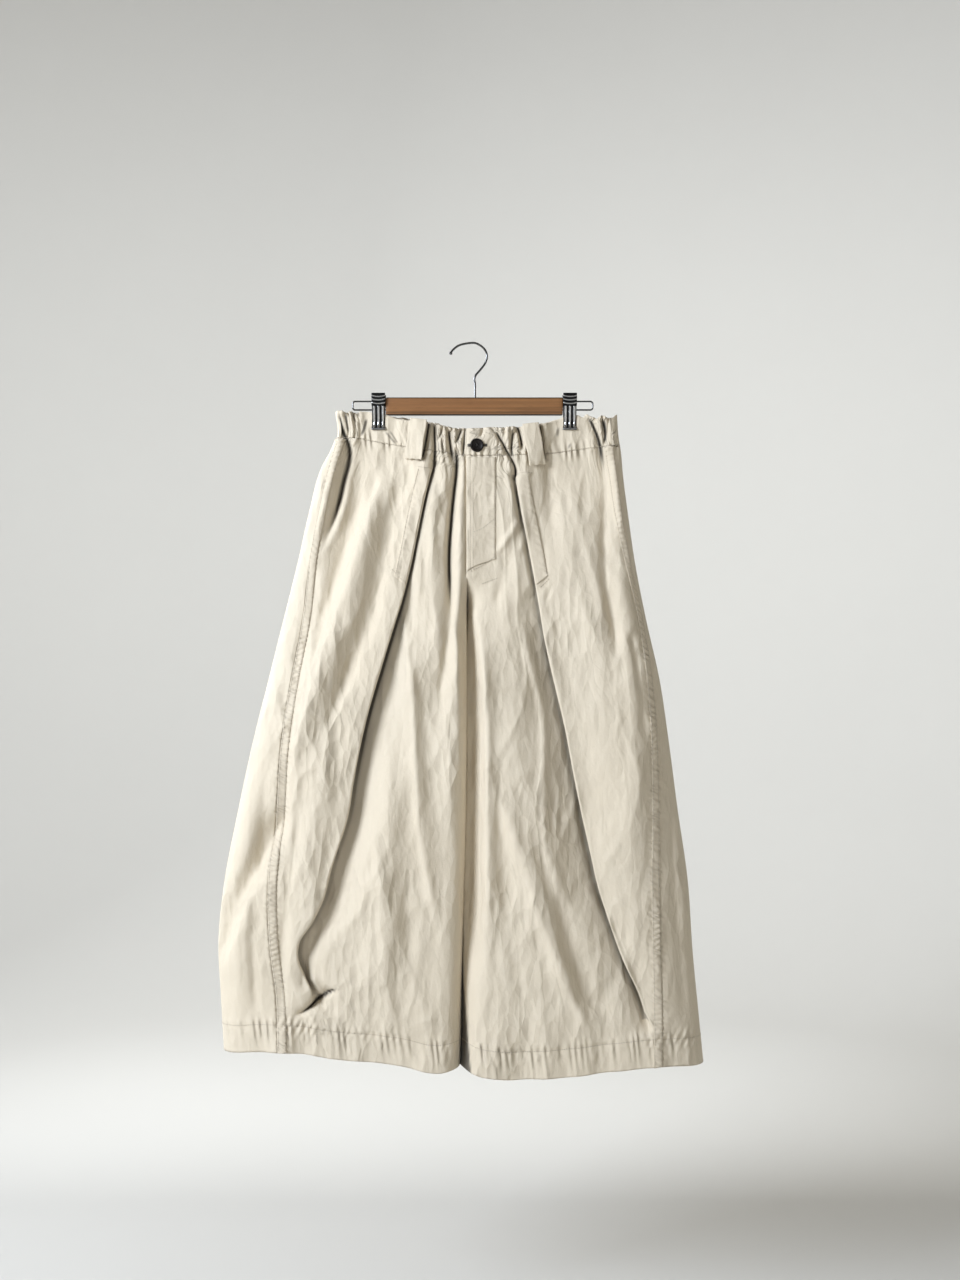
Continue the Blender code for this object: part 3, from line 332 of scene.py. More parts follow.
BACK_CREASES = table(
    CREASE,
    (((98, -186), (130, -176), (160, -178), (250, -205)), 5.2, 5.2, -10.5, 1.4, 8, 70),
    (((98, -172), (128, -166)), 3.1, 3.1, -6, 1.3, 6, 10),
    (((98, -157), (130, -160), (190, -172)), 3.9, 3.9, -6, 1.4, 6, 40),
    (((112, -68), (150, -66), (210, -72)), 3.6, 3.6, -9, 1.3, 6, 50),
    (((114, -56), (140, -55), (166, -58)), 3.1, 3.1, -7.5, 1.3, 6, 16),
    (((116, -45), (150, -46), (260, -58), (400, -72)), 4.4, 5.2, -10.5, 1.5, 8, 90),
    (((118, -33), (140, -35), (160, -33)), 2.9, 2.9, -6, 1.3, 6, 10),
    (((118, -24), (150, -22), (210, -26)), 3.6, 3.6, -9, 1.3, 6, 50),
    (((119, -2), (150, -1), (190, 2)), 3.1, 3.4, -7.5, 1.3, 6, 30),
    (((118, 10), (150, 12), (270, 20), (420, 34)), 4.4, 5.2, -10.5, 1.5, 8, 90),
    (((117, 22), (140, 21), (162, 24)), 2.9, 3.1, -6, 1.3, 6, 10),
    (((116, 33), (150, 34), (200, 40)), 3.6, 3.6, -9, 1.3, 6, 40),
    (((114, 47), (140, 45), (168, 46)), 3.1, 3.1, -7.5, 1.3, 6, 14),
    (((112, 60), (150, 61), (250, 76), (380, 92)), 4.2, 4.7, -9, 1.5, 8, 80),
    (((102, 162), (137, 172), (160, 176), (240, 188)), 4.4, 4.4, -10.5, 1.4, 8, 60),
    (((104, 182), (140, 184)), 3.4, 3.4, -7.5, 1.3, 6, 12),
    (((124, 100), (146, 104)), 2.9, 2.9, -4.5, 1.4, 6, 8),
    (((130, -112), (148, -102)), 2.9, 2.9, -4.5, 1.4, 6, 8),
    (((170, -120), (300, -140), (470, -176), (640, -214)), 12, 7, -4, 1.7, 40, 140),
    (((300, -160), (480, -208), (700, -262), (900, -290)), 10, 14, 4, 1.9, 80, 100),
    (((330, -52), (520, -70), (760, -96), (950, -112)), 9, 9, -4, 1.8, 70, 60),
    (((560, -150), (760, -186), (950, -206)), 12, 9, 4, 1.9, 90, 50),
    (((180, 120), (320, 140), (500, 168), (660, 190)), 8, 12, -4, 1.7, 40, 140),
    (((330, 60), (540, 84), (760, 110), (940, 132)), 9, 9, 4, 1.8, 70, 70),
    (((420, 26), (640, 34), (900, 44)), 8, 8, -4, 1.8, 80, 60),
    (((520, 196), (740, 226), (950, 250)), 9, 12, 4, 1.9, 90, 50),
    (((640, 150), (800, 170), (960, 196)), 9, 9, -4, 1.8, 80, 30),
    (((640, -246), (800, -262), (960, -262)), 9, 9, -4, 1.8, 80, 30),
)

# Where the waistband's two edges and the hem run
PLACE = "x drop"
FRONT_TOP = table(
    PLACE,
    (-196, 96.8), (-170, 95.6), (-144, 95.8), (-124, 98.6), (-116, 102.0), (-60, 112.0),
    (-18, 120.0), (3, 119.5), (80, 115.0), (118, 106.4), (126, 102.8), (150, 101.0), (175, 102.6),
    (206, 102.2),
)
BACK_TOP = table(
    PLACE,
    (-196, 96.8), (-170, 95.6), (-144, 95.8), (-124, 98.6), (-116, 101.5), (-98, 102.6),
    (-60, 107.0), (-22, 116.0), (3, 119.0), (40, 117.0), (80, 112.0), (118, 105.4), (126, 102.8),
    (150, 101.0), (175, 102.6), (206, 102.2),
)
WAIST_SEAM = table(
    PLACE,
    (-196, 132.5), (-157, 133.4), (-139, 137.0), (-117, 141.0), (-63, 149.8), (-45, 152.0),
    (-8, 158.0), (40, 158.0), (101, 155.0), (153, 148.0), (175, 145.5), (208, 142.5),
)
HEM = table(
    PLACE,
    (-350, 985.6), (-291, 979.0), (-256, 979.0), (-186, 988.4), (-102, 996.8), (-49, 1007.0),
    (-19, 1005.0), (0, 1010.0), (45, 1016.0), (122, 1012.0), (178, 1006.6), (255, 999.6),
    (322, 1002.4),
)
BACK_HEM_LOWER = 4.0

# Gathers of the waistband: where a group lies, how many waves it has and how deep they are
GATHER = "start end waves depth"
FRONT_GATHERS = table(
    GATHER,
    (-188, -146, 5, 2.4),
    (-63, -12, 7, 1.8),
    (30, 70, 5, 1.8),
    (158, 202, 5, 2.2),
)
BACK_GATHERS = table(
    GATHER,
    (-186, -150, 4, 2.2),
    (-66, 68, 15, 2.2),
    (160, 198, 4, 2.2),
)

# What differs from one face to the other
FOLDS = {FRONT: FRONT_FOLDS, BACK: BACK_FOLDS}
CREASES = {FRONT: FRONT_CREASES, BACK: BACK_CREASES}
GATHERS = {FRONT: FRONT_GATHERS, BACK: BACK_GATHERS}
TOPS = {FRONT: FRONT_TOP, BACK: BACK_TOP}
RUMPLE_SEEDS = {FRONT: 11, BACK: 47}
GATHER_BLEND = 6

# Rumples: how far apart across the cloth, how much longer along it, how high and how blunt
RUMPLES = table("size draw height blunt", (104, 3.0, 6.2, 0.02), (50, 3.4, 3.6, 0.03),
                (25, 3.0, 1.25, 0.05), (13, 2.4, 0.4, 0.1))
# They fan out from a place above the trousers, and are as wide as in the table at this distance
FAN_X, FAN_DROP, FAN_DISTANCE = -14, -1020, 1500
NOISE_CELLS = 64

# A crease gets painted shade at its bottom where it is this deep and this narrow, over a share of
# its reach, and the painted shade is darkest from a second depth on
DEEP_RISE, NARROW_REACH, DARK_SHARE, DARKEST_RISE = -4.4, 13, 0.66, -9

# Strips and trim
POCKET_STRIP = 18.0
POCKET_TOP, POCKET_BOTTOM = 170.0, 338.0
FELLED_SEAM = 12.0
FLY_WIDTH = {LEFT: 28.0, RIGHT: 40.0}
FLY_OUTER_END, FLY_INNER_END = 302.0, 322.0
BAND_ROWS = 26
HIDDEN_BUTTON = table("x drop radius rise", (15.0, 206.0, 10.5, 0.9))[0]
LOOP_WIDTH = 23.0
LOOP_THICK = 1.3
LOOP_BOW = 1.6
BELT_LOOPS = table(
    "name top_x low_x top_drop low_drop face",
    ("belt_loop_left", -75.6, -83.3, 107.0, 163.0, FRONT),
    ("belt_loop_right", 79.8, 90.0, 113.0, 171.0, FRONT),
    ("belt_loop_back_left", -80.0, -84.0, 108.0, 165.0, BACK),
    ("belt_loop_back_right", 82.0, 87.0, 113.0, 168.0, BACK),
)


def flow(where, knots, values):
    """Value on the smooth curve through (knots, values): cubic pieces whose slopes at a knot
    are those of its neighbours."""
    knots = np.asarray(knots, float)
    values = np.asarray(values, float)
    slopes = np.gradient(values, knots)
    where = np.clip(where, knots[0], knots[-1])
    index = np.clip(np.searchsorted(knots, where) - 1, 0, len(knots) - 2)
    span = knots[index + 1] - knots[index]
    t = (where - knots[index]) / span
    start = (2 * t**3 - 3 * t**2 + 1) * values[index] + (t**3 - 2 * t**2 + t) * span * slopes[index]
    end = (3 * t**2 - 2 * t**3) * values[index + 1] + (t**3 - t**2) * span * slopes[index + 1]
    return start + end


def column(rows, name):
    """One named column of a table."""
    return [getattr(row, name) for row in rows]


def level(name, drop):
    """A column of the section table at a drop."""
    return flow(drop, column(LEVELS, "drop"), column(LEVELS, name))


def soft(t):
    """0 below 0, 1 above 1 and a smooth step between."""
    t = np.clip(t, 0.0, 1.0)
    return t * t * (3 - 2 * t)


def across_line(line, x):
    """Drop of a seam or hem line at x."""
    return flow(x, column(line, "x"), column(line, "drop"))


def inner_edge(side, drop):
    """x of the edge of one half: the middle seam above the crotch, the inseam below."""
    return flow(drop, column(INNER_EDGES, "drop"), column(INNER_EDGES, WHERE[side]))


def closing(drop):
    """0 above the crotch, where the halves are open to each other, and 1 below, where each leg
    is closed round."""
    return soft((drop - CROTCH_TOP) / (CROTCH_LOW - CROTCH_TOP))


def half_depth(x, drop):
    """Distance from the middle plane to the cloth: the section's own, pinched at the clips and
    opening out again away from them."""
    depth = level("half_depth", drop) + np.zeros_like(x)
    fade = soft((PINCH_LOW - drop) / PINCH_FADE)
    for clip_x in CLIP_X.values():
        away = np.abs(x - clip_x) - CLIP_WIDTH / 2 - PINCH_ROOM
        near = soft(1.0 - away / (PINCH_SPREAD + PINCH_WIDENING * drop)) * fade
        depth = depth + (CLIP_HALF_DEPTH - depth) * near
    return depth


def free_of_clips(depth):
    """0 where the clips hold the cloth flat and 1 where it hangs free."""
    return soft((depth - CLIP_HALF_DEPTH - 0.3) / 5)


def section(side, drop):
    """Half widths to one side's edge and seam at a drop, and the reach of its rounding."""
    edge, seam = (side * level(f"{WHERE[side]}_{name}", drop) for name in ("edge", "seam"))
    return edge, seam, level("reach", drop)


def edge_arc(run, reach):
    """Where a run of cloth past the outer edge lies. It turns through a quarter circle of the
    given reach and goes straight on. Gives the distance in from the edge and the share of the
    full depth, which is negative on the back."""
    angle = run / reach
    turning = np.abs(angle) < pi / 2
    inward = np.where(turning, reach * (1 - np.cos(angle)), reach + np.abs(run) - reach * pi / 2)
    share = np.where(turning, np.sin(angle), np.sign(run))
    return inward, share


def edge_run(inward, reach):
    """Run of cloth from the outer edge to a distance in from it: edge_arc the other way round."""
    turning = np.clip(1 - inward / reach, -1, 1)
    return np.where(inward < reach, reach * np.arccos(turning), reach * (pi / 2 - 1) + inward)


def folds(rows, x, drop):
    """Sum of the long folds: each one a rounded ridge about its crest line, fading at its ends."""
    total = np.zeros(np.broadcast(x, drop).shape)
    for fold in rows:
        crest = flow(drop, (fold.top_drop, fold.mid_drop, fold.low_drop),
                     (fold.top_x, fold.mid_x, fold.low_x))
        head = 0.25 * (fold.mid_drop - fold.top_drop) + 15
        tail = 0.6 * (fold.low_drop - fold.mid_drop)
        fade = (soft((drop - fold.top_drop) / head + 0.15)
                * soft((fold.low_drop - drop) / tail + 0.05))
        total += fold.rise * fade * np.exp(-((x - crest) / fold.width) ** 2)
    return total


def about(crease, x, drop):
    """Where places lie about a crease: how far to the right of its path, as a share of its reach
    on that side, and how far past its head and short of its tail, as shares of their fades."""
    drops, across = zip(*crease.path)
    away = x - flow(drop, drops, across)
    share = away / np.where(away < 0, crease.left, crease.right)
    return share, (drop - drops[0]) / crease.head, (drops[-1] - drop) / crease.tail


def creases(rows, x, drop):
    """Sum of the creases: across its path each one is exp(-(distance / reach) ** edge), so edge 2
    is round and edge 1 comes to a point, and it fades in and out along the path."""
    total = np.zeros(np.broadcast(x, drop).shape)
    for crease in rows:
        share, head, tail = about(crease, x, drop)
        fade = soft(head + 0.1) * soft(tail + 0.1)
        total += crease.rise * fade * np.exp(-np.abs(share) ** crease.edge)
    return total


def painted_fold_shade(rows, x, drop):
    """Painted shade for the bottoms of narrow deep creases, where light hardly reaches: how far a
    place lies in them, 1 on the path of the deepest and 0 away from them."""
    total = np.zeros(np.broadcast(x, drop).shape)
    for crease in rows:
        if crease.rise <= DEEP_RISE and crease.left + crease.right <= NARROW_REACH:
            share, head, tail = about(crease, x, drop)
            dark = np.clip(crease.rise / DARKEST_RISE, 0, 1) * soft(head) * soft(tail) ** 2
            total += dark * np.exp(-(share / DARK_SHARE) ** 4)
    return np.clip(total, 0, 1)


def gathered(groups, x, drop, depth):
    """How closely the elastic draws the cloth up: full within the groups of gathers, less between
    them, none where the clips press, and dying away below the waist seam."""
    share = 0.3 + 0 * x
    for group in groups:
        share = share + 0.7 * (soft((x - group.start + GATHER_BLEND) / (2 * GATHER_BLEND))
                               * soft((group.end - x + GATHER_BLEND) / (2 * GATHER_BLEND)))
    below = np.clip(drop - across_line(WAIST_SEAM, x), 0, None)
    return share * np.exp(-below / 30) * soft((depth - 3) / 5)


def hem_line(x):
    """Drop of the hem's stitching at x."""
    return across_line(HEM, x) - HEM_DROP + HEM_BAND_DROP


def sewn_across(x, drop):
    """How near a place is to the waist seam or to the hem's stitching: 1 on the line."""
    from_waist = (drop - across_line(WAIST_SEAM, x)) / 11.0
    from_hem = drop - hem_line(x)
    from_hem = from_hem / np.where(from_hem < 0, 9.0, 24.0)
    return np.exp(-from_waist ** 2) + 0.8 * np.exp(-from_hem ** 2)


def lattice_noise(x, y, seed):
    """Smooth noise from -1 to 1: random values at whole numbers, blended by smooth steps."""
    values = np.random.default_rng(seed).uniform(-1, 1, (NOISE_CELLS, NOISE_CELLS))
    column_at, row_at = np.floor(x).astype(int), np.floor(y).astype(int)
    across, down = soft(x - column_at), soft(y - row_at)

    def corner(i, j):
        return values[(row_at + i) % NOISE_CELLS, (column_at + j) % NOISE_CELLS]

    top = corner(0, 0) * (1 - across) + corner(0, 1) * across
    low = corner(1, 0) * (1 - across) + corner(1, 1) * across
    return top * (1 - down) + low * down


def rumple(x, drop, seed):
    """Creases of worn cotton that are too many to place: noise whose zero lines are pressed to
    ridges, drawn out along the fall of the cloth and bent by slower noise, in four sizes."""
    total = np.zeros(np.broadcast(x, drop).shape)
    fanned = (x - FAN_X) * FAN_DISTANCE / (drop - FAN_DROP)
    for number, (size, draw, height, blunt) in enumerate(RUMPLES):
        bend = lattice_noise(x / 90 + 7.3 * number, drop / 120, seed + 20 + number)
        lean = fanned + bend * 26 + (0.13 if number % 2 else -0.1) * drop
        wave = lattice_noise(lean / size, (drop + bend * 18) / (size * draw), seed + number)
        total += height * (0.5 - np.sqrt(np.abs(wave) + blunt))
    return total


def gathers(groups, x):
    """Depth of the waistband's waves at x: uneven waves within each group, none outside."""
    total = np.zeros_like(x)
    for group in groups:
        t = (x - group.start) / (group.end - group.start)
        inside = soft(t * group.waves) * soft((1 - t) * group.waves)
        uneven = 0.12 * np.sin(2 * pi * 1.7 * t) + 0.05 * np.sin(2 * pi * 4.3 * t)
        height = 0.8 + 0.2 * np.sin(2 * pi * (2.6 * t + 0.2))
        wave = np.sin(2 * pi * (t * group.waves + uneven)) * height
        total += group.depth * wave * inside
    return total


def waist_beat(x):
    """Waves that the waist seam's stitches draw into the cloth along it."""
    return np.sin(2 * pi * (x / 9.5 + 0.35 * np.sin(x / 17.0)))


def seam_pucker(x, drop):
    """Puckers that the waist and hem stitching draws into the cloth: short waves along each
    stitch line that die away from it. The waist's reach below the seam, and the hem's to both
    sides of its line."""
    below_waist = np.clip(drop - across_line(WAIST_SEAM, x), 0, None)
    waist = waist_beat(x) * (0.6 + 0.4 * np.sin(x / 23.0 + 1)) * np.exp(-below_waist / 13.0)
    from_hem = drop - hem_line(x)
    lean = x + 0.5 * from_hem
    rope = np.sin(2 * pi * (lean / 9.2 + 0.3 * np.sin(x / 29.0))) * (0.6 + 0.4 * np.sin(x / 41.0))
    hem = 1.15 * rope * np.exp(-(from_hem / 13.0) ** 2)
    groove = -0.8 * np.exp(-(from_hem / 2.2) ** 2)
    return waist + hem + groove


def hem_ripple(x, drop):
    """Slow ripples of the hem, which hang deeper towards its edge."""
    near = soft((drop - 880) / 120)
    wave = 2.6 * np.sin(x / 15.5 + 0.7 * np.sin(x / 37.0)) + 1.6 * np.sin(x / 8.3 + 2.0)
    return near * wave * (0.7 + 0.3 * np.sin(x / 61.0))


def row_drop(x, row, back):
    """Drop of a point of a panel: the row's own, bent to the waist seam at the top and to the
    hem at the bottom."""
    waist_shift = across_line(WAIST_SEAM, x) + SEAM_GAP - WAIST_DROP
    hem_shift = across_line(HEM, x) - HEM_DROP
    if back:
        hem_shift = hem_shift + BACK_HEM_LOWER * soft((x - 100) / 30) * soft((265 - x) / 30)
    near_waist = 1 - soft((row - WAIST_DROP) / WAIST_FELT)
    near_hem = soft((row - HEM_FELT_FROM) / HEM_FELT)
    return row + waist_shift * near_waist + hem_shift * near_hem


def held_back(rise, room):
    """A rise whose troughs stop softly before they use up the room to the middle plane."""
    room = np.clip(room - 1.6, LEAST_ROOM, None)
    return np.where(rise < 0, -room * np.tanh(-rise / room), rise)


def button_under_fly(x, drop):
    """Low round swelling over the button inside the fly."""
    away = np.hypot(x - HIDDEN_BUTTON.x, drop - HIDDEN_BUTTON.drop)
    return HIDDEN_BUTTON.rise * soft((HIDDEN_BUTTON.radius - away) / 3.0)


def relief(x, drop, depth, face):
    """How far the cloth stands out from its plain section: folds, creases, rumples, puckers and
    hem ripples, held flat where the clips pinch it."""
    wide = soft((depth - 4) / 12)
    free = free_of_clips(depth)
    rise = folds(FOLDS[face], x, drop) * wide + creases(CREASES[face], x, drop) * free
    rise = rise + rumple(x, drop, RUMPLE_SEEDS[face]) * free * soft((drop - 120) / 60)
    rise = rise + seam_pucker(x, drop) * free + hem_ripple(x, drop)
    if face == FRONT:
        rise = rise + button_under_fly(x, drop)
    return rise


def body_point(side, x, share, row, face):
    """Points of the body's middle surface from x, the share of the full depth and the row. The
    left leg's inner edge hangs forward and the right one's back, so that they overlap."""
    drop = row_drop(x, row, back=face == BACK)
    depth = half_depth(x, drop)
    toward = np.clip(face * share, 0, 1)
    rise = held_back(relief(x, drop, depth, face), depth * toward)
    y = -depth * share - face * rise * soft(toward * 1.2)
    by_the_edge = np.exp(-((x - inner_edge(side, row)) / 18.0) ** 2) * closing(row)
    y = y + side * LEG_STAGGER * by_the_edge
    return np.stack([x, y, -drop], axis=-1)


def pleat_curve(lap, turn, bend, turn_steps, lap_steps):
    """One pleat across the cloth: it turns back, runs under by the lap and turns forward again.
    The heading swings from 0 to turn half circles and back, so the length of cloth is kept.
    Gives the way run inward and the way run deeper, a column for each point."""
    swing = (np.arange(turn_steps) + 0.5) / turn_steps
    headings = np.concatenate([swing, np.ones(lap_steps), swing[::-1]])
    turning = bend / turn_steps + np.zeros(turn_steps)
    runs = np.concatenate([turning, lap / lap_steps + np.zeros(lap_steps), turning], axis=1)
    angle = turn * pi * headings[None, :]
    start = np.zeros_like(lap)
    inward = np.concatenate([start, np.cumsum(runs * np.cos(angle), axis=1)], axis=1)
    deeper = np.concatenate([start, np.cumsum(runs * np.sin(angle), axis=1)], axis=1)
    return inward, deeper


def pleat_rise(side, share):
    """How much of a hollow is left at a share of the way out of it: an even S on the left leg,
    and on the right one a slope that is steepest at the fold."""
    return 1 - soft(share) if side == LEFT else (1 - np.clip(share, 0, 1)) ** 1.6


def steps(start, end, count):
    """count columns from start up to, but not with, end."""
    return start + (end - start) * (np.arange(count) / count)


# A piece's middle surface, its normals, which way is out, and marks for its finish: how much
# painted shade the bottoms of its folds get, how near its stitching lies and how closely it is
# gathered
Panel = namedtuple("Panel", "mid normal outside marks")

# Columns of a front panel's stretches, from the side seam to the inner edge
BAND_COLUMNS, OUTER_COLUMNS, STRIP_COLUMNS = 9, 44, 12
TURN_STEPS, LAP_STEPS = 6, 6
MIDDLE_COLUMNS, INNER_TURNS = 52, 20
# and of a back panel's
WRAP_COLUMNS, SIDE_COLUMNS, BACK_COLUMNS = 36, 14, 66

# More than any distance over which stitching puckers the cloth
FAR = 99.0


def rows_of(top, middle, low):
    """Drops of a panel's rows: how many lie close together by the waist seam, wider apart in the
    middle and close together by the hem."""
    return np.concatenate([np.linspace(WAIST_DROP, 205, top, endpoint=False),
                           np.linspace(205, 925, middle, endpoint=False),
                           np.linspace(925, HEM_DROP, low)])


FRONT_ROWS = rows_of(30, 196, 36)
BACK_ROWS = rows_of(20, 130, 26)


def marks_of(face, mid, from_seam=None):
    """Marks of the cloth on one face. from_seam is how far the first columns lie from the side's
    stitching, where the piece is sewn down to it; the other columns are far away."""
    x, drop = mid[..., 0], -mid[..., 2]
    # fold_shade is painted shade that darkens the bottoms of narrow deep creases
    marks = {"fold_shade": painted_fold_shade(CREASES[face], x, drop), "sewn_across": sewn_across(x, drop),
             "gathered": gathered(GATHERS[face], x, drop, half_depth(x, drop))}
    if from_seam is not None:
        beyond = np.full((len(mid), mid.shape[1] - from_seam.shape[1]), FAR)
        away = np.abs(np.concatenate([from_seam, beyond], axis=1))
        marks["sewn_down"] = 0.5 * np.exp(-away / 3.5) * soft((drop - 300) / 300)
    return marks


def front_panel(side):
    """Middle surface of one front panel, rows by columns, from the side seam to the inner edge:
    the seam band, the side, the pocket strip, the pleat and the cloth on to the middle."""
    row = FRONT_ROWS[:, None]
    edge, seam, reach = section(side, row)
    inner = side * inner_edge(side, row)

    def pleat(name, least, most=None):
        """A column of the pleat's table at the rows."""
        values = flow(row, column(PLEATS[side], "drop"), column(PLEATS[side], name))
        return np.clip(values, least, most)

    line = side * pleat("line", -np.inf)
    lap, turn = pleat("lap", LEAST_LAP), pleat("turn", 0, 1)
    bend, hollow, recover = pleat("bend", 3.5), pleat("hollow", 0.0), pleat("recover", 7.0)
    ahead, deeper = pleat_curve(lap, turn, bend, TURN_STEPS, LAP_STEPS)
    begin = line + ahead.max(axis=1, keepdims=True)

    run_seam = edge_run(edge - seam, reach) + SEAM_GAP / 2
    run_band = run_seam + FELLED_SEAM
    run_begin = edge_run(edge - begin, reach)
    run_strip = run_begin - np.clip(POCKET_STRIP, None, 0.6 * (run_begin - run_band))
    run = np.concatenate([steps(run_seam, run_band, BAND_COLUMNS),
                          steps(run_band, run_strip, OUTER_COLUMNS),
                          steps(run_strip, run_begin, STRIP_COLUMNS)], axis=1)
    from_edge, side_share = edge_arc(run, reach)
    outer = edge - from_edge

    fly = np.minimum(inner + FLY_WIDTH[side], line - 2 * PLEAT_CLEAR)
    middle = steps(line - PLEAT_CLEAR, fly, MIDDLE_COLUMNS)
    angle = np.linspace(pi / 2, 0, INNER_TURNS + 1)[None, :]
    last = inner + (fly - inner) * (1 - np.cos(angle))
    closed = closing(row)
    last_share = (1 - closed) + closed * np.sin(angle)

    half = np.concatenate([outer, begin - ahead, middle, last], axis=1)
    share = np.concatenate([side_share, np.ones_like(ahead), np.ones_like(middle), last_share],
                           axis=1)
    deeper = deeper + hollow * soft(np.linspace(0, 1, deeper.shape[1]))
    extra = np.concatenate([np.zeros_like(outer), deeper, deeper[:, -1:] + np.zeros_like(middle),
                            deeper[:, -1:] + np.zeros_like(last)], axis=1)
    beyond = np.clip(line - PLEAT_CLEAR - half, 0, None)
    extra = np.where(np.arange(half.shape[1]) >= outer.shape[1] + ahead.shape[1],
                     extra * pleat_rise(side, beyond / recover), extra)
    mid = body_point(side, side * half, share, row, FRONT)
    extra = extra * np.where(share > 0.999, 1.0, share)
    room = np.clip(-mid[..., 1] - 2.6, LEAST_ROOM, None)
    mid[..., 1] += room * np.tanh(extra / room)
    mid[:, -1, 1] -= SEAM_GAP / 2 * closed[:, 0]
    normal = side * normals(mid, seam_across(side, edge, seam, reach, row),
                            inner_across(side, closed, FRONT))
    # Painted shade in the slit under a pleat's folded edge, fading away from the edge and, on the
    # left leg, lower down
    under = (np.arange(half.shape[1]) >= outer.shape[1] + 3) * (lap > LEAST_LAP)
    slit = under * soft(turn * 1.2) * np.exp(-beyond / 2.0) * SLIT_SHADE[side]
    if side == LEFT:
        slit = slit * (0.35 + 0.65 * soft((740 - row) / 240))
    else:
        # Painted shade on the right leg where the gap behind the left leg's edge would be dark
        behind = between_legs(-mid[..., 2]) - mid[..., 0]
        slit = np.maximum(slit, 0.85 * soft(behind / 2.5))
    marks = marks_of(FRONT, mid, run - run_band)
    marks["fold_shade"] = np.maximum(marks["fold_shade"], slit)
    return Panel(mid, normal, side, marks)


def between_legs(drop):
    """x up to which the right leg gets painted shade for the gap that opens behind the left one's
    edge.
    """
    return flow(drop, (760, 830, 900, 960, 1005), (-26, -15.5, -10.5, -5.5, -1.5))


def seam_across(side, edge, seam, reach, row):
    """Direction across the cloth at the side seam, from the back panel towards the front one.
    Both panels use it, so their edges face each other squarely."""
    sides = []
    for shift in (-1.0, 1.0):
        from_edge, share = edge_arc(edge_run(edge - seam, reach) + shift, reach)
        sides.append(body_point(side, side * (edge - from_edge), share, row, FRONT))
    return (sides[1] - sides[0])[:, 0]


def inner_across(side, closed, face):
    """Direction across the cloth at a panel's inner edge: towards the other half where the
    halves are open to each other, and round to the other face where the leg is closed."""
    return np.concatenate([-side * 0.35 * (1 - closed), face * closed, 0 * closed], axis=1)


def back_panel(side):
    """Middle surface of one back panel, from the side seam on the front, round the outer edge
    and across the back to the inner edge."""
    row = BACK_ROWS[:, None]
    edge, seam, reach = section(side, row)
    inner = side * inner_edge(side, row)
    run_seam = edge_run(edge - seam, reach) - SEAM_GAP / 2
    quarter = reach * pi / 2
    fly = inner + FLY_WIDTH[side]
    run_fly = edge_run(edge - fly, reach)
    run = np.concatenate([steps(run_seam, 0 * quarter, WRAP_COLUMNS),
                          steps(0 * quarter, -quarter, SIDE_COLUMNS),
                          steps(-quarter, -run_fly, BACK_COLUMNS)], axis=1)
    from_edge, side_share = edge_arc(run, reach)
    angle = np.linspace(pi / 2, 0, INNER_TURNS // 2 + 1)[None, :]
    last = inner + (fly - inner) * (1 - np.cos(angle))
    closed = closing(row)
    last_share = -((1 - closed) + closed * np.sin(angle))
    half = np.concatenate([edge - from_edge, last], axis=1)
    share = np.concatenate([side_share, last_share], axis=1)
    on_front = body_point(side, side * half, share, row, FRONT)
    on_back = body_point(side, side * half, share, row, BACK)
    mid = np.where((share < 0)[..., None], on_back, on_front)
    mid[:, -1, 1] += SEAM_GAP / 2 * closed[:, 0]
    normal = -side * normals(mid, -seam_across(side, edge, seam, reach, row),
                             inner_across(side, closed, BACK))
    marks = marks_of(BACK, mid, run_seam - run)
    marks["fold_shade"] = np.where(share < 0, 0.5 * marks["fold_shade"], 0)
    marks["gathered"] = np.clip(-share * 3, 0, 1) * marks["gathered"]
    return Panel(mid, normal, -side, marks)


def normals(mid, first_across=None, last_across=None):
    """Unit normals of a grid of points, square to the directions down and across it. The
    direction across may be given at the first and the last column."""
    down = np.gradient(mid, axis=0)
    across = np.gradient(mid, axis=1)
    if first_across is not None:
        across[:, 0] = first_across
    if last_across is not None:
        across[:, -1] = last_across
    normal = np.cross(across, down)
    return normal / np.clip(np.linalg.norm(normal, axis=2, keepdims=True), 1e-9, None)


def waist_points(side, run, share_down, face):
    """Middle surface of the waistband: runs along it from the outer edge, and shares of its
    height from the ruffled top edge to the seam. The gathers are deepest at the top."""
    edge, _, reach = section(side, BAND_DROP)
    from_edge, share = edge_arc(run, reach)
    x = (side * (edge - from_edge))[None, :]
    share = share[None, :]
    down = share_down[:, None]
    wave = gathers(GATHERS[face], x + np.zeros_like(down))
    top = across_line(TOPS[face], x)
    ends = soft((np.abs(x + 4) - 140) / 20)
    top = top + 0.5 * np.abs(wave) + (0.7 + 2.2 * ends) * lattice_noise(x / 7.0, x * 0, 5)
    height = across_line(WAIST_SEAM, x) - top
    drop = top + height * down
    depth = half_depth(x + np.zeros_like(drop), drop)
    above_seam = (1 - down) * height
    frill = 1.3 * lattice_noise(x / 6.0, down * 1.5 + 3, 8) * (1 - down) ** 3
    frill = 1.25 * wave * (1 - 0.65 * down) + frill
    roll = 1.1 * np.sin(pi * down) - 0.9 * np.exp(-(above_seam / 1.6) ** 2)
    pucker = 1.1 * waist_beat(x) * np.exp(-above_seam / 9)
    rise = frill + 1.3 * creases(CREASES[face], x, drop) + pucker
    rise = rise + 0.5 * rumple(x, drop, RUMPLE_SEEDS[face])
    rise = rise * free_of_clips(depth) + roll * soft((depth - 4) / 8)
    y = -share * (depth + held_back(rise, depth * np.abs(share)))
    widening = (level(WHERE[side] + "_edge", drop) - side * edge) * soft((np.abs(x) - 120) / 60)
    return np.stack([x + widening, y, -drop], axis=-1)


def waist_runs(side, x):
    """Runs of cloth from the outer edge that reach the given x on the front."""
    edge, _, reach = section(side, BAND_DROP)
    return edge_run(edge - side * x, reach)


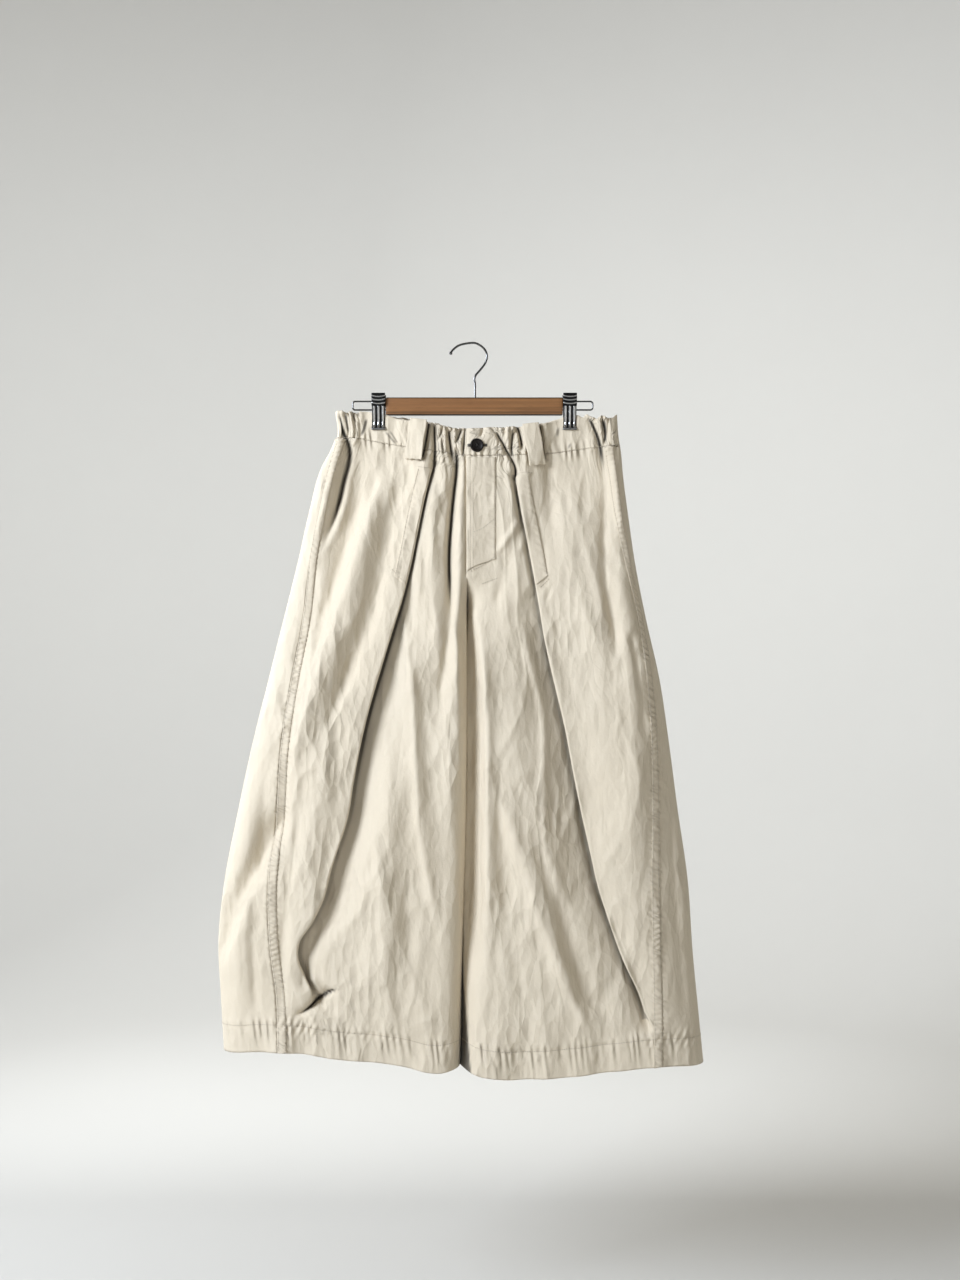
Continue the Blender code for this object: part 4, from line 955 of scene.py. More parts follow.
def sample(grid, row, at):
    """Points of a grid at fractional rows and columns: straight between its four neighbours."""
    row = np.clip(row, 0, grid.shape[0] - 1.0001)
    at = np.clip(at, 0, grid.shape[1] - 1.0001)
    i, j = np.floor(row).astype(int), np.floor(at).astype(int)
    u, v = (row - i)[..., None], (at - j)[..., None]
    top = grid[i, j] * (1 - v) + grid[i, j + 1] * v
    low = grid[i + 1, j] * (1 - v) + grid[i + 1, j + 1] * v
    return top * (1 - u) + low * u


def find_on(panel, places):
    """Fractional rows and columns of (x, drop) places on a panel: the row is corrected three
    times by how far off its drop is, and the column is read off that row."""
    x, drop = np.array(places, float).T
    grid = panel.mid
    forward = 1 if grid[0, -1, 0] > grid[0, 0, 0] else -1
    columns = np.arange(grid.shape[1])[::forward]
    row = np.interp(drop, -grid[:, grid.shape[1] // 2, 2], np.arange(len(grid)))
    for _ in range(3):
        low = np.clip(np.floor(row).astype(int), 0, len(grid) - 2)
        line = grid[low] + (grid[low + 1] - grid[low]) * (row - low)[:, None, None]
        at = np.array([np.interp(a, b[::forward, 0], columns) for a, b in zip(x, line)])
        spacing = sample(grid, low.astype(float), at)[:, 2] - sample(grid, low + 1.0, at)[:, 2]
        row = row + (drop + sample(grid, row, at)[:, 2]) / spacing
    return row, at


def runs(points, axis=0):
    """Distance run along an axis of a line or a grid of points to each of them."""
    run = np.cumsum(np.linalg.norm(np.diff(points, axis=axis), axis=-1), axis=axis)
    return np.concatenate([0 * np.take(run, [0], axis), run], axis=axis)


def quads_of(index):
    """Corners of the faces between neighbouring rows and columns of indices."""
    corners = [index[:-1, :-1], index[:-1, 1:], index[1:, 1:], index[1:, :-1]]
    return np.stack(corners, axis=-1).reshape(-1, 4)


def tube_faces(index):
    """Faces of a tube with a row of indices for each of its rings, and its two ends filled."""
    sides = quads_of(np.concatenate([index, index[:, :1]], axis=1))
    return sides.tolist() + [index[0, ::-1].tolist(), index[-1].tolist()]


def circles(first, second, angle):
    """A unit circle at each place, spanned by the two directions given there."""
    return (first[:, None] * np.cos(angle)[None, :, None]
            + second[:, None] * np.sin(angle)[None, :, None])


def mark_points(piece, mark, values):
    """Keeps a share for each point of a piece, for its finish."""
    values = np.clip(values, 0, 1).astype(np.float32).ravel()
    piece.data.attributes.new(mark, "FLOAT", "POINT").data.foreach_set("value", values)


def dress(piece, finish, stands_for=None):
    """Gives a piece its finish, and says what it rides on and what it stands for."""
    piece.data.materials.append(finish)
    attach(piece, "root")
    if stands_for:
        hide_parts(stands_for)
    return piece


def linked(name, data):
    """An object of a mesh, a light or a camera, in the scene."""
    item = bpy.data.objects.new(name, data)
    bpy.context.collection.objects.link(item)
    return item


def grid_mesh(name, grid, outside=1, closed=False):
    """A smooth mesh object of a grid of points in millimetres. outside is -1 where the grid's
    own normals point inwards. Its UV map is the distance run across and down the cloth, in
    metres."""
    rows, columns = grid.shape[:2]
    index = np.arange(rows * columns).reshape(rows, columns)
    if closed:
        index = np.concatenate([index, index[:, :1]], axis=1)
    quads = quads_of(index)[:, ::outside]
    mesh = bpy.data.meshes.new(name)
    mesh.vertices.add(rows * columns)
    mesh.vertices.foreach_set("co", (grid * MM).astype(np.float32).ravel())
    mesh.loops.add(quads.size)
    mesh.loops.foreach_set("vertex_index", quads.ravel().astype(np.int32))
    mesh.polygons.add(len(quads))
    mesh.polygons.foreach_set("loop_start", np.arange(0, quads.size, 4, dtype=np.int32))
    uv = mesh.uv_layers.new(name="cloth_run")
    places = np.stack([runs(grid, 1).ravel(), runs(grid).ravel()], axis=-1)[quads.ravel()] * MM
    uv.data.foreach_set("uv", places.astype(np.float32).ravel())
    mesh.update(calc_edges=True)
    mesh.validate()
    mesh.shade_smooth()
    return linked(name, mesh)


def solid_mesh(name, points, faces, sharp=0.6):
    """A mesh object of closed bodies, with their faces turned outwards, smooth but for the edges
    that turn more than sharp radians."""
    mesh = bpy.data.meshes.new(name)
    mesh.from_pydata((np.asarray(points) * MM).tolist(), [], faces)
    body = bmesh.new()
    body.from_mesh(mesh)
    bmesh.ops.recalc_face_normals(body, faces=body.faces)
    body.to_mesh(mesh)
    body.free()
    mesh.shade_smooth()
    mesh.set_sharp_from_angle(angle=sharp)
    return linked(name, mesh)


def between(name, outer, inner, sharp=0.6):
    """A closed body between an outer and an inner grid of points, with its rims filled."""
    count = outer[..., 0].size
    index = np.arange(count).reshape(outer.shape[:2])
    skin = quads_of(index)
    rim = np.concatenate([index[0], index[1:, -1], index[-1, -2::-1], index[-2:0:-1, 0]])
    after = np.roll(rim, -1)
    side = np.stack([after, rim, rim + count, after + count], axis=-1)
    faces = np.concatenate([skin, skin[:, ::-1] + count, side]).tolist()
    points = np.concatenate([outer.reshape(-1, 3), inner.reshape(-1, 3)])
    return solid_mesh(name, points, faces, sharp)


def cut_of(grid):
    """Flat width, length and area of the cloth in a grid, in metres: its widest row, its longest
    column and the sum of its faces."""
    across = np.linalg.norm(np.diff(grid, axis=1), axis=2)
    down = np.linalg.norm(np.diff(grid, axis=0), axis=2)
    face = np.cross(grid[1:, 1:] - grid[:-1, :-1], grid[1:, :-1] - grid[:-1, 1:])
    area = 0.5 * np.linalg.norm(face, axis=2).sum()
    return across.sum(axis=1).max() * MM, down.sum(axis=0).max() * MM, area * MM * MM


def cloth(name, panel, thickness, finish, rests_on, closed=False):
    """One piece of hanging cloth: a panel's surface with its thickness to both sides and its
    marks as attributes. It stands for the node of the same name."""
    grid = panel.mid
    piece = grid_mesh("cloth_" + name, grid, panel.outside, closed)
    for mark, values in panel.marks.items():
        mark_points(piece, mark, np.broadcast_to(values, grid.shape[:2]))
    wall = piece.modifiers.new("thickness", "SOLIDIFY")
    wall.thickness = thickness * MM
    wall.offset = 0.0
    dress(piece, finish, name)
    width, length, area = cut_of(grid)


def strip_grid(panel, first, last, top, low_first, low_last, columns, rows, out):
    """Points of a strip on a panel between two columns, moved out along its normals. It starts at
    the row top, and its lower end slants from low_first to low_last."""
    panel_rows = FRONT_ROWS if len(panel.mid) == len(FRONT_ROWS) else BACK_ROWS
    share = np.linspace(0, 1, columns)[None, :]
    down = np.linspace(0, 1, rows)[:, None]
    end = low_first + (low_last - low_first) * share
    row = np.interp(top + (end - top) * down, panel_rows, np.arange(len(panel_rows)))
    at = first + (last - first) * share + 0 * down
    normal = sample(panel.normal, row, at)
    normal = normal / np.linalg.norm(normal, axis=2, keepdims=True)
    return sample(panel.mid, row, at) + normal * out, share, down * (end - top)


def sewn_form(share, run, lines, width, height):
    """Relief of a sewn strip: it swells between its stitch lines, dips along them, and puckers
    next to them. share runs from 0 to 1 across it, run is the distance along it."""
    form = height * np.sin(pi * share) ** 0.7
    beat = np.sin(2 * pi * (run / 7.3 + 0.3 * np.sin(run / 19.0)))
    for line in lines:
        away = (share - line) * width
        form = form - 0.22 * np.exp(-(away / 0.8) ** 2) + 0.16 * beat * np.exp(-(away / 3.0) ** 2)
    return form


def trim_lift(cloth_thickness):
    """How far the middle of a strip of trim lies over that of the cloth under it."""
    return (cloth_thickness + TRIM) / 2 + TRIM_GAP


def raised(grid, outside, form):
    """A grid of points moved out by a form along its normals."""
    return grid + outside * normals(grid) * form[..., None]


# Columns of the side seam's band and where its two lines of stitching lie, as shares of its width
STRIP_GRID_COLUMNS = 13
SEAM_LINES = (0.13, 0.87)


@lru_cache(maxsize=None)
def seam_strip(side, cloth_thickness):
    """Flat-felled band down the side, on the front panel's first columns, roped by its two lines
    of stitching: short slanting waves along it."""
    panel = body_panels()[side, FRONT]
    low = HEM_DROP - 0.4
    grid, share, run = strip_grid(panel, 0, BAND_COLUMNS, WAIST_DROP + 2, low, low,
                                  STRIP_GRID_COLUMNS, 520, trim_lift(cloth_thickness))
    drop = -grid[..., 2]
    slant = drop + 7.0 * share * np.sin(drop / 53.0 + side)
    rope = np.sin(2 * pi * (slant / 7.6 + 0.35 * np.sin(drop / 26.0 + side)))
    uneven = 0.35 + 0.65 * np.sin(drop / 44.0 + 2 * side) ** 2
    form = sewn_form(share, run, SEAM_LINES, FELLED_SEAM, 0.55) + 0.5 * (rope + 1) * uneven
    grid = raised(grid, panel.outside, form)
    return Panel(grid, panel.outside * normals(grid), panel.outside,
                 {"sewn_down": 0.62 * soft((drop - 240) / 260)})


def seam_band(side, sizes, finish):
    """The piece of the flat-felled band."""
    cloth(f"side_seam_{WHERE[side]}", seam_strip(side, sizes.cloth_thickness), TRIM, finish,
          [f"front_{WHERE[side]}"])


def pocket_strip(side, panel, sizes, finish):
    """Facing of the slash pocket, stitched down along its outer side."""
    first = BAND_COLUMNS + OUTER_COLUMNS
    grid, share, run = strip_grid(panel, first, first + STRIP_COLUMNS, POCKET_TOP,
                                  POCKET_BOTTOM - 12, POCKET_BOTTOM, 17, 84,
                                  trim_lift(sizes.cloth_thickness))
    form = sewn_form(share, run, (0.1,), POCKET_STRIP, 0.3)
    strip = Panel(raised(grid, panel.outside, form), None, panel.outside,
                  {"sewn_down": 0.4 * np.exp(-share / 0.3)})
    cloth(f"pocket_strip_{WHERE[side]}", strip, TRIM, finish, [f"front_{WHERE[side]}"])


def fly_placket(panel, sizes, finish):
    """The fly's outer layer, with a slanted lower end, on the right front's inner columns."""
    last = panel.mid.shape[1] - 1
    grid, share, run = strip_grid(panel, last - INNER_TURNS, last, WAIST_DROP + 2, FLY_OUTER_END,
                                  FLY_INNER_END, 33, 84, trim_lift(sizes.cloth_thickness))
    form = sewn_form(share, run, (0.08, 0.9), FLY_WIDTH[RIGHT], 0.3)
    sewn = np.exp(-share / 0.12) + np.exp((share - 1) / 0.12)
    strip = Panel(raised(grid, panel.outside, form), None, panel.outside, {"sewn_down": 0.3 * sewn})
    cloth("fly_placket", strip, TRIM, finish, ["front_right"])


def turn_up(side, front, back, sizes, finish):
    """Cloth turned up inside a leg's hem, all round."""
    out = -(sizes.cloth_thickness / 2 + TURN_UP_GAP + TURN_UP / 2)
    halves = [strip_grid(panel, 0, panel.mid.shape[1] - 1, HEM_BAND_DROP, HEM_DROP, HEM_DROP,
                         columns, 10, out)[0] for panel, columns in ((front, 120), (back, 100))]
    ring = np.concatenate([halves[0], halves[1][:, ::-1]], axis=1)
    cloth(f"hem_{WHERE[side]}", Panel(ring, None, front.outside, {}), TURN_UP, finish,
          [f"front_{WHERE[side]}", f"back_{WHERE[side]}"], closed=True)


@lru_cache(maxsize=None)
def body_panels():
    """The four panels of the body, by side and face."""
    return {(side, face): make(side) for face, make in ((FRONT, front_panel), (BACK, back_panel))
            for side in (LEFT, RIGHT)}


@lru_cache(maxsize=None)
def band_panels():
    """The two front halves of the waistband, from the side seams to the fly's edge, and the back,
    which wraps round both sides."""
    down = np.linspace(0, 1, BAND_ROWS)
    bands, halves = {}, []
    for side in (LEFT, RIGHT):
        seam = float(level(WHERE[side] + "_seam", BAND_DROP))
        x = np.linspace(seam - side * SEAM_GAP / 2, MIDDLE_X + side * SEAM_GAP / 2, 250)
        grid = waist_points(side, waist_runs(side, x), down, FRONT)
        bands[side] = Panel(grid, side * normals(grid), side, marks_of(FRONT, grid))
        wrap = float(waist_runs(side, seam + side * SEAM_GAP / 2))
        across = waist_runs(side, np.linspace(side * 185.0, MIDDLE_X, 170))
        run = np.concatenate([np.linspace(wrap, -across[0], 44)[:-1], -across])
        halves.append(waist_points(side, run, down, BACK))
    grid = np.concatenate([halves[0], halves[1][:, :-1][:, ::-1]], axis=1)
    bands["back"] = Panel(grid, normals(grid), 1, marks_of(BACK, grid))
    return bands


def belt_loop(loop, band_thickness):
    """A folded strip that stands just off the waistband, drawn in where it is sewn down above and
    below it, with an edge that rolls slightly under the stitching."""
    down = np.linspace(0, 1, 44)[:, None]
    over = np.linspace(-0.5, 0.5, 21)[None, :]
    drop = loop.top_drop + (loop.low_drop - loop.top_drop) * down + np.zeros_like(over)
    x = loop.top_x + (loop.low_x - loop.top_x) * down + over * LOOP_WIDTH
    x = x + 0.35 * np.sin(9 * down + loop.top_x) * np.sign(over)
    clear = band_thickness / 2 + LOOP_THICK + 0.8
    ends = 1.2 * (np.exp(-(down / 0.05) ** 2) + np.exp(-((1 - down) / 0.05) ** 2))
    y = half_depth(x, drop) + clear + LOOP_BOW * np.sin(pi * down) - ends
    y = y + 0.35 * np.sin(2 * pi * over * 2.1 + 0.6) * np.exp(-((1 - down) / 0.12) ** 2)
    y = y - 0.3 * np.exp(-((np.abs(over) - 0.36) / 0.05) ** 2) - 0.5 * (2 * np.abs(over)) ** 8
    drop = drop - 0.12 * over * LOOP_WIDTH * np.sign(loop.top_x)
    drop = drop + 0.5 * np.sin(over * 17.0 + loop.low_x) * np.exp(-((1 - down) / 0.06) ** 2)
    grid = np.stack([x, -loop.face * y, -drop], axis=-1)
    return Panel(grid, loop.face * normals(grid), loop.face, {})


STITCH_SIDES = 5
# Places and sizes of a stitch's rings, as shares of its length and width
STITCH_RINGS = ((-0.5, 0.25), (-0.34, 0.85), (0.0, 1.0), (0.34, 0.85), (0.5, 0.25))


def stitches(name, lines, sizes, finish, pitch=1.0, sideways=False):
    """Sewing thread as one mesh: a small rounded bar for each stitch. lines are (points, normals)
    pairs. The bars follow the line, or lie across it where sideways, and sink at their ends."""
    points, faces = [], []
    spacing = (sizes.stitch_length + 0.7) * pitch
    turn = np.arange(STITCH_SIDES) * 2 * pi / STITCH_SIDES
    count = 0
    for line, normal in lines:
        run = runs(line)
        number = max(1, int(run[-1] / spacing))
        centre = (np.arange(number) + 0.5) * run[-1] / number

        def along(values, places):
            return np.stack([np.interp(places, run, values[:, k]) for k in range(3)], axis=-1)

        middle = along(line, centre)
        forward = along(line, centre + 0.6) - along(line, centre - 0.6)
        forward /= np.linalg.norm(forward, axis=1, keepdims=True)
        up = along(normal, centre)
        side = np.cross(forward, up)
        side /= np.linalg.norm(side, axis=1, keepdims=True)
        if sideways:
            forward, side = side, forward
        up = np.cross(side, forward)
        rings = []
        for place, size in STITCH_RINGS:
            sink = 0.22 * (1 - (2 * place) ** 2)
            heart = middle + forward * place * sizes.stitch_length + up * sink
            rim = circles(side, up, turn) * sizes.thread_width / 2 * size
            rings.append(heart[:, None] + rim)
        body = np.stack(rings, axis=1)
        base = count + np.arange(number)[:, None, None] * len(STITCH_RINGS) * STITCH_SIDES
        ring = np.arange(len(STITCH_RINGS) - 1)[None, :, None] * STITCH_SIDES
        i = np.arange(STITCH_SIDES)[None, None, :]
        j = (i + 1) % STITCH_SIDES
        quads = np.stack([base + ring + i, base + ring + j, base + ring + STITCH_SIDES + j,
                          base + ring + STITCH_SIDES + i], axis=-1).reshape(-1, 4)
        first = (base[:, 0] + i[0])[:, ::-1]
        last = base[:, 0] + (len(STITCH_RINGS) - 1) * STITCH_SIDES + i[0]
        faces += quads.tolist() + first.tolist() + last.tolist()
        points.append(body.reshape(-1, 3))
        count += body.shape[0] * len(STITCH_RINGS) * STITCH_SIDES
    dress(solid_mesh(name, np.concatenate(points), faces, sharp=1.2), finish)


def line_on(panel, row, at, out):
    """Points and normals of a line out from a panel, given by its fractional rows and columns."""
    normal = sample(panel.normal, row, at)
    return sample(panel.mid, row, at) + normal * out, normal


def down_line(panel, at, top, low, out, rows):
    """Line down a panel at a column, between two drops of its rows."""
    place = np.interp(np.linspace(top, low, int((low - top) / 2)), rows, np.arange(len(rows)))
    return line_on(panel, place, at + 0 * place, out)


def cross_line(panel, row, out, first=0.0, last=None):
    """Line across a panel along one of its rows, given as a fraction."""
    last = panel.mid.shape[1] - 1 if last is None else last
    at = np.linspace(first, last, 300)
    return line_on(panel, row + 0 * at, at, out)


def drawn_line(panel, places, out):
    """Line over a panel through (x, drop) places."""
    knots = np.arange(len(places))
    fine = np.linspace(0, len(places) - 1, 12 * len(places))
    x = np.interp(fine, knots, [place[0] for place in places])
    drop = np.interp(fine, knots, [place[1] for place in places])
    return line_on(panel, *find_on(panel, np.stack([x, drop], axis=-1)), out)


# Lines of stitching and bar tacks drawn through (x, drop) places. The fly's long lines are given
# by their share across the placket and the drop of their lower end
POCKET_TACKS = {LEFT: ((-112, 316), (-98, 331)), RIGHT: ((106, 330), (88, 346))}
FLY_LINES = ((0.30, 318), (0.42, 316), (0.965, 300))
FLY_TACKS = (((0.0, 266), (12, 261), (30, 247)), ((-4, 320), (10, 313), (30, 300)))
CROTCH_TACK = ((12, 337), (34, 329))


def sewing(panels, bands, loops, sizes, finish):
    """All the stitching: side seams, hems, waist seam, pocket strips, fly, loops and bar tacks."""
    out = sizes.cloth_thickness / 2
    on_strip = out + TRIM_GAP + TRIM + 0.12
    for side in (LEFT, RIGHT):
        front, back = panels[side, FRONT], panels[side, BACK]
        where = WHERE[side]
        strip = seam_strip(side, sizes.cloth_thickness)
        rows = np.arange(strip.mid.shape[0])
        lines = [down_line(strip, share * (STRIP_GRID_COLUMNS - 1), 2, rows[-1] - 2,
                           TRIM / 2 + 0.05, rows) for share in SEAM_LINES]
        stitches(f"stitching_side_{where}", lines, sizes, finish)
        hem = [cross_line(panel, np.interp(HEM_BAND_DROP, drops, np.arange(len(drops))), out)
               for panel, drops in ((front, FRONT_ROWS), (back, BACK_ROWS))]
        stitches(f"stitching_hem_{where}", hem, sizes, finish)
        at = BAND_COLUMNS + OUTER_COLUMNS + 0.1 * STRIP_COLUMNS
        pocket = [down_line(front, at, POCKET_TOP + 3, POCKET_BOTTOM - 14, on_strip, FRONT_ROWS),
                  drawn_line(front, POCKET_TACKS[side], on_strip)]
        stitches(f"stitching_pocket_{where}", pocket, sizes, finish)
    seam = [cross_line(band, BAND_ROWS - 1.6, sizes.band_thickness / 2) for band in bands.values()]
    stitches("stitching_waist", seam, sizes, finish)
    fly = panels[RIGHT, FRONT]
    last = fly.mid.shape[1] - 1
    lines = [down_line(fly, last - share * INNER_TURNS, WAIST_DROP + 6, low, on_strip, FRONT_ROWS)
             for share, low in FLY_LINES]
    lines += [drawn_line(fly, places, on_strip) for places in FLY_TACKS]
    lines.append(drawn_line(fly, CROTCH_TACK, out))
    stitches("stitching_fly", lines, sizes, finish)
    ends = []
    for loop in loops:
        for row in (2.5, 41.0):
            ends.append(cross_line(loop, row, 0.7, 1.0, 19.0))
        for at in (2.6, 17.4):
            row = np.linspace(2, 41, 80)
            ends.append(line_on(loop, row, at + 0 * row, 0.68))
    stitches("stitching_loops", ends, sizes, finish)


BUTTON_X, BUTTON_DROP = 5.6, 144.2
BUTTON_RADIUS, BUTTON_THICK = 9.5, 3.4
BUTTON_HOLE_RADIUS, BUTTON_HOLE_SPREAD = 1.0, 2.1
BUTTONHOLE = (-8.0, 19.8)


def button_face(radius):
    """Height of the button's front at a radius: a dished middle, a raised rim and a round edge."""
    r = radius / BUTTON_RADIUS
    t = BUTTON_THICK
    dish = 0.60 * t - 0.10 * t * soft((0.62 - r) / 0.3)
    rim = 0.40 * t * np.exp(-((r - 0.82) / 0.13) ** 2)
    edge = np.clip((r - 0.84) / 0.165, 0, 1) ** 2.4
    return (dish + rim) * np.sqrt(np.clip(1 - edge, 0, 1)) + 0.05


def button(sizes, horn, thread):
    """Four-hole button, made on rings about its middle. Its holes are deep round pits, and two
    crossed strands of thread hold it."""
    depth = float(half_depth(np.array([BUTTON_X]), np.array([BUTTON_DROP]))[0])
    back = -(depth + 0.8 + 0.8 + 1.2)
    inner, outer = np.linspace(0.05, 4.2, 34), np.linspace(4.5, BUTTON_RADIUS, 26)
    radius = np.concatenate([inner, outer])[:, None]
    angle = (np.arange(72) * 2 * pi / 72)[None, :]
    x, z = radius * np.cos(angle), radius * np.sin(angle)
    height = button_face(radius) + 0 * angle
    for i in range(4):
        turn = pi / 4 + i * pi / 2
        away = np.hypot(x - BUTTON_HOLE_SPREAD * np.cos(turn),
                        z - BUTTON_HOLE_SPREAD * np.sin(turn))
        height = height * (1 - 0.95 * soft((BUTTON_HOLE_RADIUS + 0.12 - away) / 0.3))
    front = np.stack([BUTTON_X + x, back - height, -BUTTON_DROP + z], axis=-1)
    rear = np.stack([BUTTON_X + x * 0.9, back + 0 * height, -BUTTON_DROP + z * 0.9], axis=-1)
    rings = np.concatenate([front, rear[::-1]], axis=0)
    index = np.arange(rings[..., 0].size).reshape(rings.shape[:2])
    piece = solid_mesh("horn_button", rings.reshape(-1, 3), tube_faces(index), sharp=1.0)
    dress(piece, horn, "button")
    strands = []
    for turn in (pi / 4, 3 * pi / 4):
        for offset in (-0.32, 0.0, 0.32):
            share = np.linspace(-1, 1, 15)
            along = share * (BUTTON_HOLE_SPREAD + 0.15)
            rise = 0.5 * BUTTON_THICK + 0.55 + offset * 0.3 - 0.9 * share**6
            x = BUTTON_X + along * np.cos(turn) - offset * np.sin(turn)
            z = -BUTTON_DROP + along * np.sin(turn) + offset * np.cos(turn)
            strands.append(np.stack([x, back - rise, z], axis=-1))
    wire_mesh("button_thread", strands, 0.42, 6, thread)


def buttonhole(band, sizes, thread, shade):
    """Worked buttonhole beside the button: a narrow near-black sheet of painted shadow in the
    slit between two rows of close stitches that lie across it."""
    x = np.linspace(BUTTONHOLE[0] + 0.8, BUTTONHOLE[1], 60)
    out = sizes.band_thickness / 2

    def over_band(offset, out):
        """Points and normals of a line over the band, offset in height from the button."""
        places = np.stack([x, BUTTON_DROP + offset + 0 * x], axis=-1)
        return line_on(band, *find_on(band, places), out)

    sides = [over_band(offset, out) for offset in (-0.95, 0.95)]
    stitches("buttonhole_thread", sides, sizes, thread, pitch=0.19, sideways=True)
    # The slit's shadow is painted: a thin near-black sheet just over the band
    share = np.linspace(0, 1, 60)
    width = 0.75 * np.sqrt(np.clip(1 - (2 * share - 1) ** 4, 0.02, 1))
    slit = [over_band(offset * width, out + 0.28)[0] for offset in np.linspace(-0.5, 0.5, 5)]
    piece = grid_mesh("buttonhole_slit", np.stack(slit), band.outside)
    piece.modifiers.new("thickness", "SOLIDIFY").thickness = 0.2 * MM
    dress(piece, shade)


def wire_mesh(name, routes, diameter, sides, finish, stands_for=None, ring_size=np.ones_like):
    """Round wires as one mesh: a ring of points about each place of a route, square to it, and
    the ends filled. ring_size gives the rings' sizes, as shares of the diameter, for the distances
    run along the route."""
    points, faces, count = [], [], 0
    angle = np.arange(sides) * 2 * pi / sides
    for route in routes:
        route = np.asarray(route, float)
        along = np.gradient(route, axis=0)
        along /= np.linalg.norm(along, axis=1, keepdims=True)
        aside = np.array((0.0, 1.0, 0.0)) - along * along[:, 1:2]
        aside /= np.linalg.norm(aside, axis=1, keepdims=True)
        third = np.cross(along, aside)
        radius = diameter / 2 * ring_size(runs(route))
        ring = circles(aside, third, angle) * radius[:, None, None]
        faces += tube_faces(np.arange(len(route) * sides).reshape(len(route), sides) + count)
        points.append((route[:, None] + ring).reshape(-1, 3))
        count += len(route) * sides
    piece = solid_mesh(name, np.concatenate(points), faces, sharp=1.2)
    dress(piece, finish, stands_for)


# Hanger
BAR_LEFT, BAR_RIGHT = -121.8, 125.3
BAR_TOP, BAR_LOW = 75.6, 99.8
BAR_DEPTH = 12.0
BAR_ROUND = 1.3
WIRE_DIAMETER = 2.3
WIRE_DROPS = (80.5, 92.4)
WIRE_END = {LEFT: -169.4, RIGHT: 168.7}
HOOK_DIAMETER = 3.0
HOOK_ROUTE = table(
    PLACE,
    (-32.2, 14.7), (-27.5, 7.6), (-17.5, 1.2), (0, -1.5), (9.5, 1.6), (17.0, 8.6), (19.6, 17.5),
    (17.0, 27.0), (10.0, 36.5), (4.0, 43.5), (2.0, 49.5), (2.8, 56.0), (2.8, 66.0), (2.8, 75.2),
)

# One row for each level of a clip's jaw: the outer and inner faces' distance from the middle
JAW = table(
    "drop outer inner",
    (70.0, 10.6, 9.4),
    (74.5, 10.9, 8.9),
    (80.5, 10.4, 7.7),
    (86.5, 9.2, 6.2),
    (89.5, 7.9, 5.6),
    (98.0, 6.2, 4.2),
    (117.0, 5.4, 3.5),
    (118.3, 6.5, 3.5),
    (120.6, 6.4, 3.5),
)
JAW_RIB = 0.9
PAD_RIDGES = (75.1, 79.9, 84.8)


def bar(finish):
    """Wooden bar: a rectangle with rounded edges and a wider slope along its lower front edge,
    carried straight from end to end."""
    half_y, half_z = BAR_DEPTH / 2, (BAR_LOW - BAR_TOP) / 2
    profile = []
    for sign_y, sign_z in ((1, 1), (-1, 1), (-1, -1), (1, -1)):
        start = np.arctan2(sign_z, sign_y) - pi / 4
        turn = start + np.linspace(0, pi / 2, 7)
        y = sign_y * (half_y - BAR_ROUND) + BAR_ROUND * np.cos(turn)
        z = sign_z * (half_z - BAR_ROUND) + BAR_ROUND * np.sin(turn)
        profile.append(np.stack([y, z], axis=-1))
    profile = np.concatenate(profile)
    slope = np.clip(-profile[:, 1] - (half_z - 3.4), 0, None) * (profile[:, 0] < 0)
    profile[:, 0] += slope * 0.45
    x = np.concatenate([[BAR_LEFT, BAR_LEFT + 0.5],
                        np.linspace(BAR_LEFT + 1.2, BAR_RIGHT - 1.2, 60),
                        [BAR_RIGHT - 0.5, BAR_RIGHT]])
    inset = 1 - 0.9 / half_z * (1 - soft(np.minimum(x - BAR_LEFT, BAR_RIGHT - x) / 1.2))
    rings = np.stack([x[:, None] + 0 * profile[None, :, 0],
                      profile[None, :, 0] * inset[:, None],
                      -(BAR_TOP + BAR_LOW) / 2 + profile[None, :, 1] * inset[:, None]], axis=-1)
    index = np.arange(rings[..., 0].size).reshape(rings.shape[:2])
    piece = solid_mesh("wooden_bar", rings.reshape(-1, 3), tube_faces(index), sharp=0.7)
    dress(piece, finish, "hanger_bar")


def hook(finish):
    """Wire hook: round over the nail, in again below it and straight down into the bar, with a
    small ball rolled on its tip."""
    fine = np.linspace(0, len(HOOK_ROUTE) - 1, 150)
    order = np.arange(len(HOOK_ROUTE))
    x = flow(fine, order, column(HOOK_ROUTE, "x"))
    drop = flow(fine, order, column(HOOK_ROUTE, "drop"))
    route = np.stack([x, 0 * x, -drop], axis=-1)

    def with_ball(run):
        """Ring sizes: a half circle of the ball's own radius over its first few millimetres."""
        ball = np.sqrt(np.clip(1 - ((run - 2.0) / 2.05) ** 2, 0.001, 1)) * 1.65
        return np.where(run < 4.0, np.maximum(ball, np.where(run > 2.0, 1.0, 0.05)), 1.0)

    tip = route[0] + (route[2] - route[0]) * np.linspace(0, 1, 24)[:, None]
    route = np.concatenate([tip[:-1], route[2:]])
    wire_mesh("hook_wire", [route], HOOK_DIAMETER, 16, finish, "hanger_hook", with_ball)


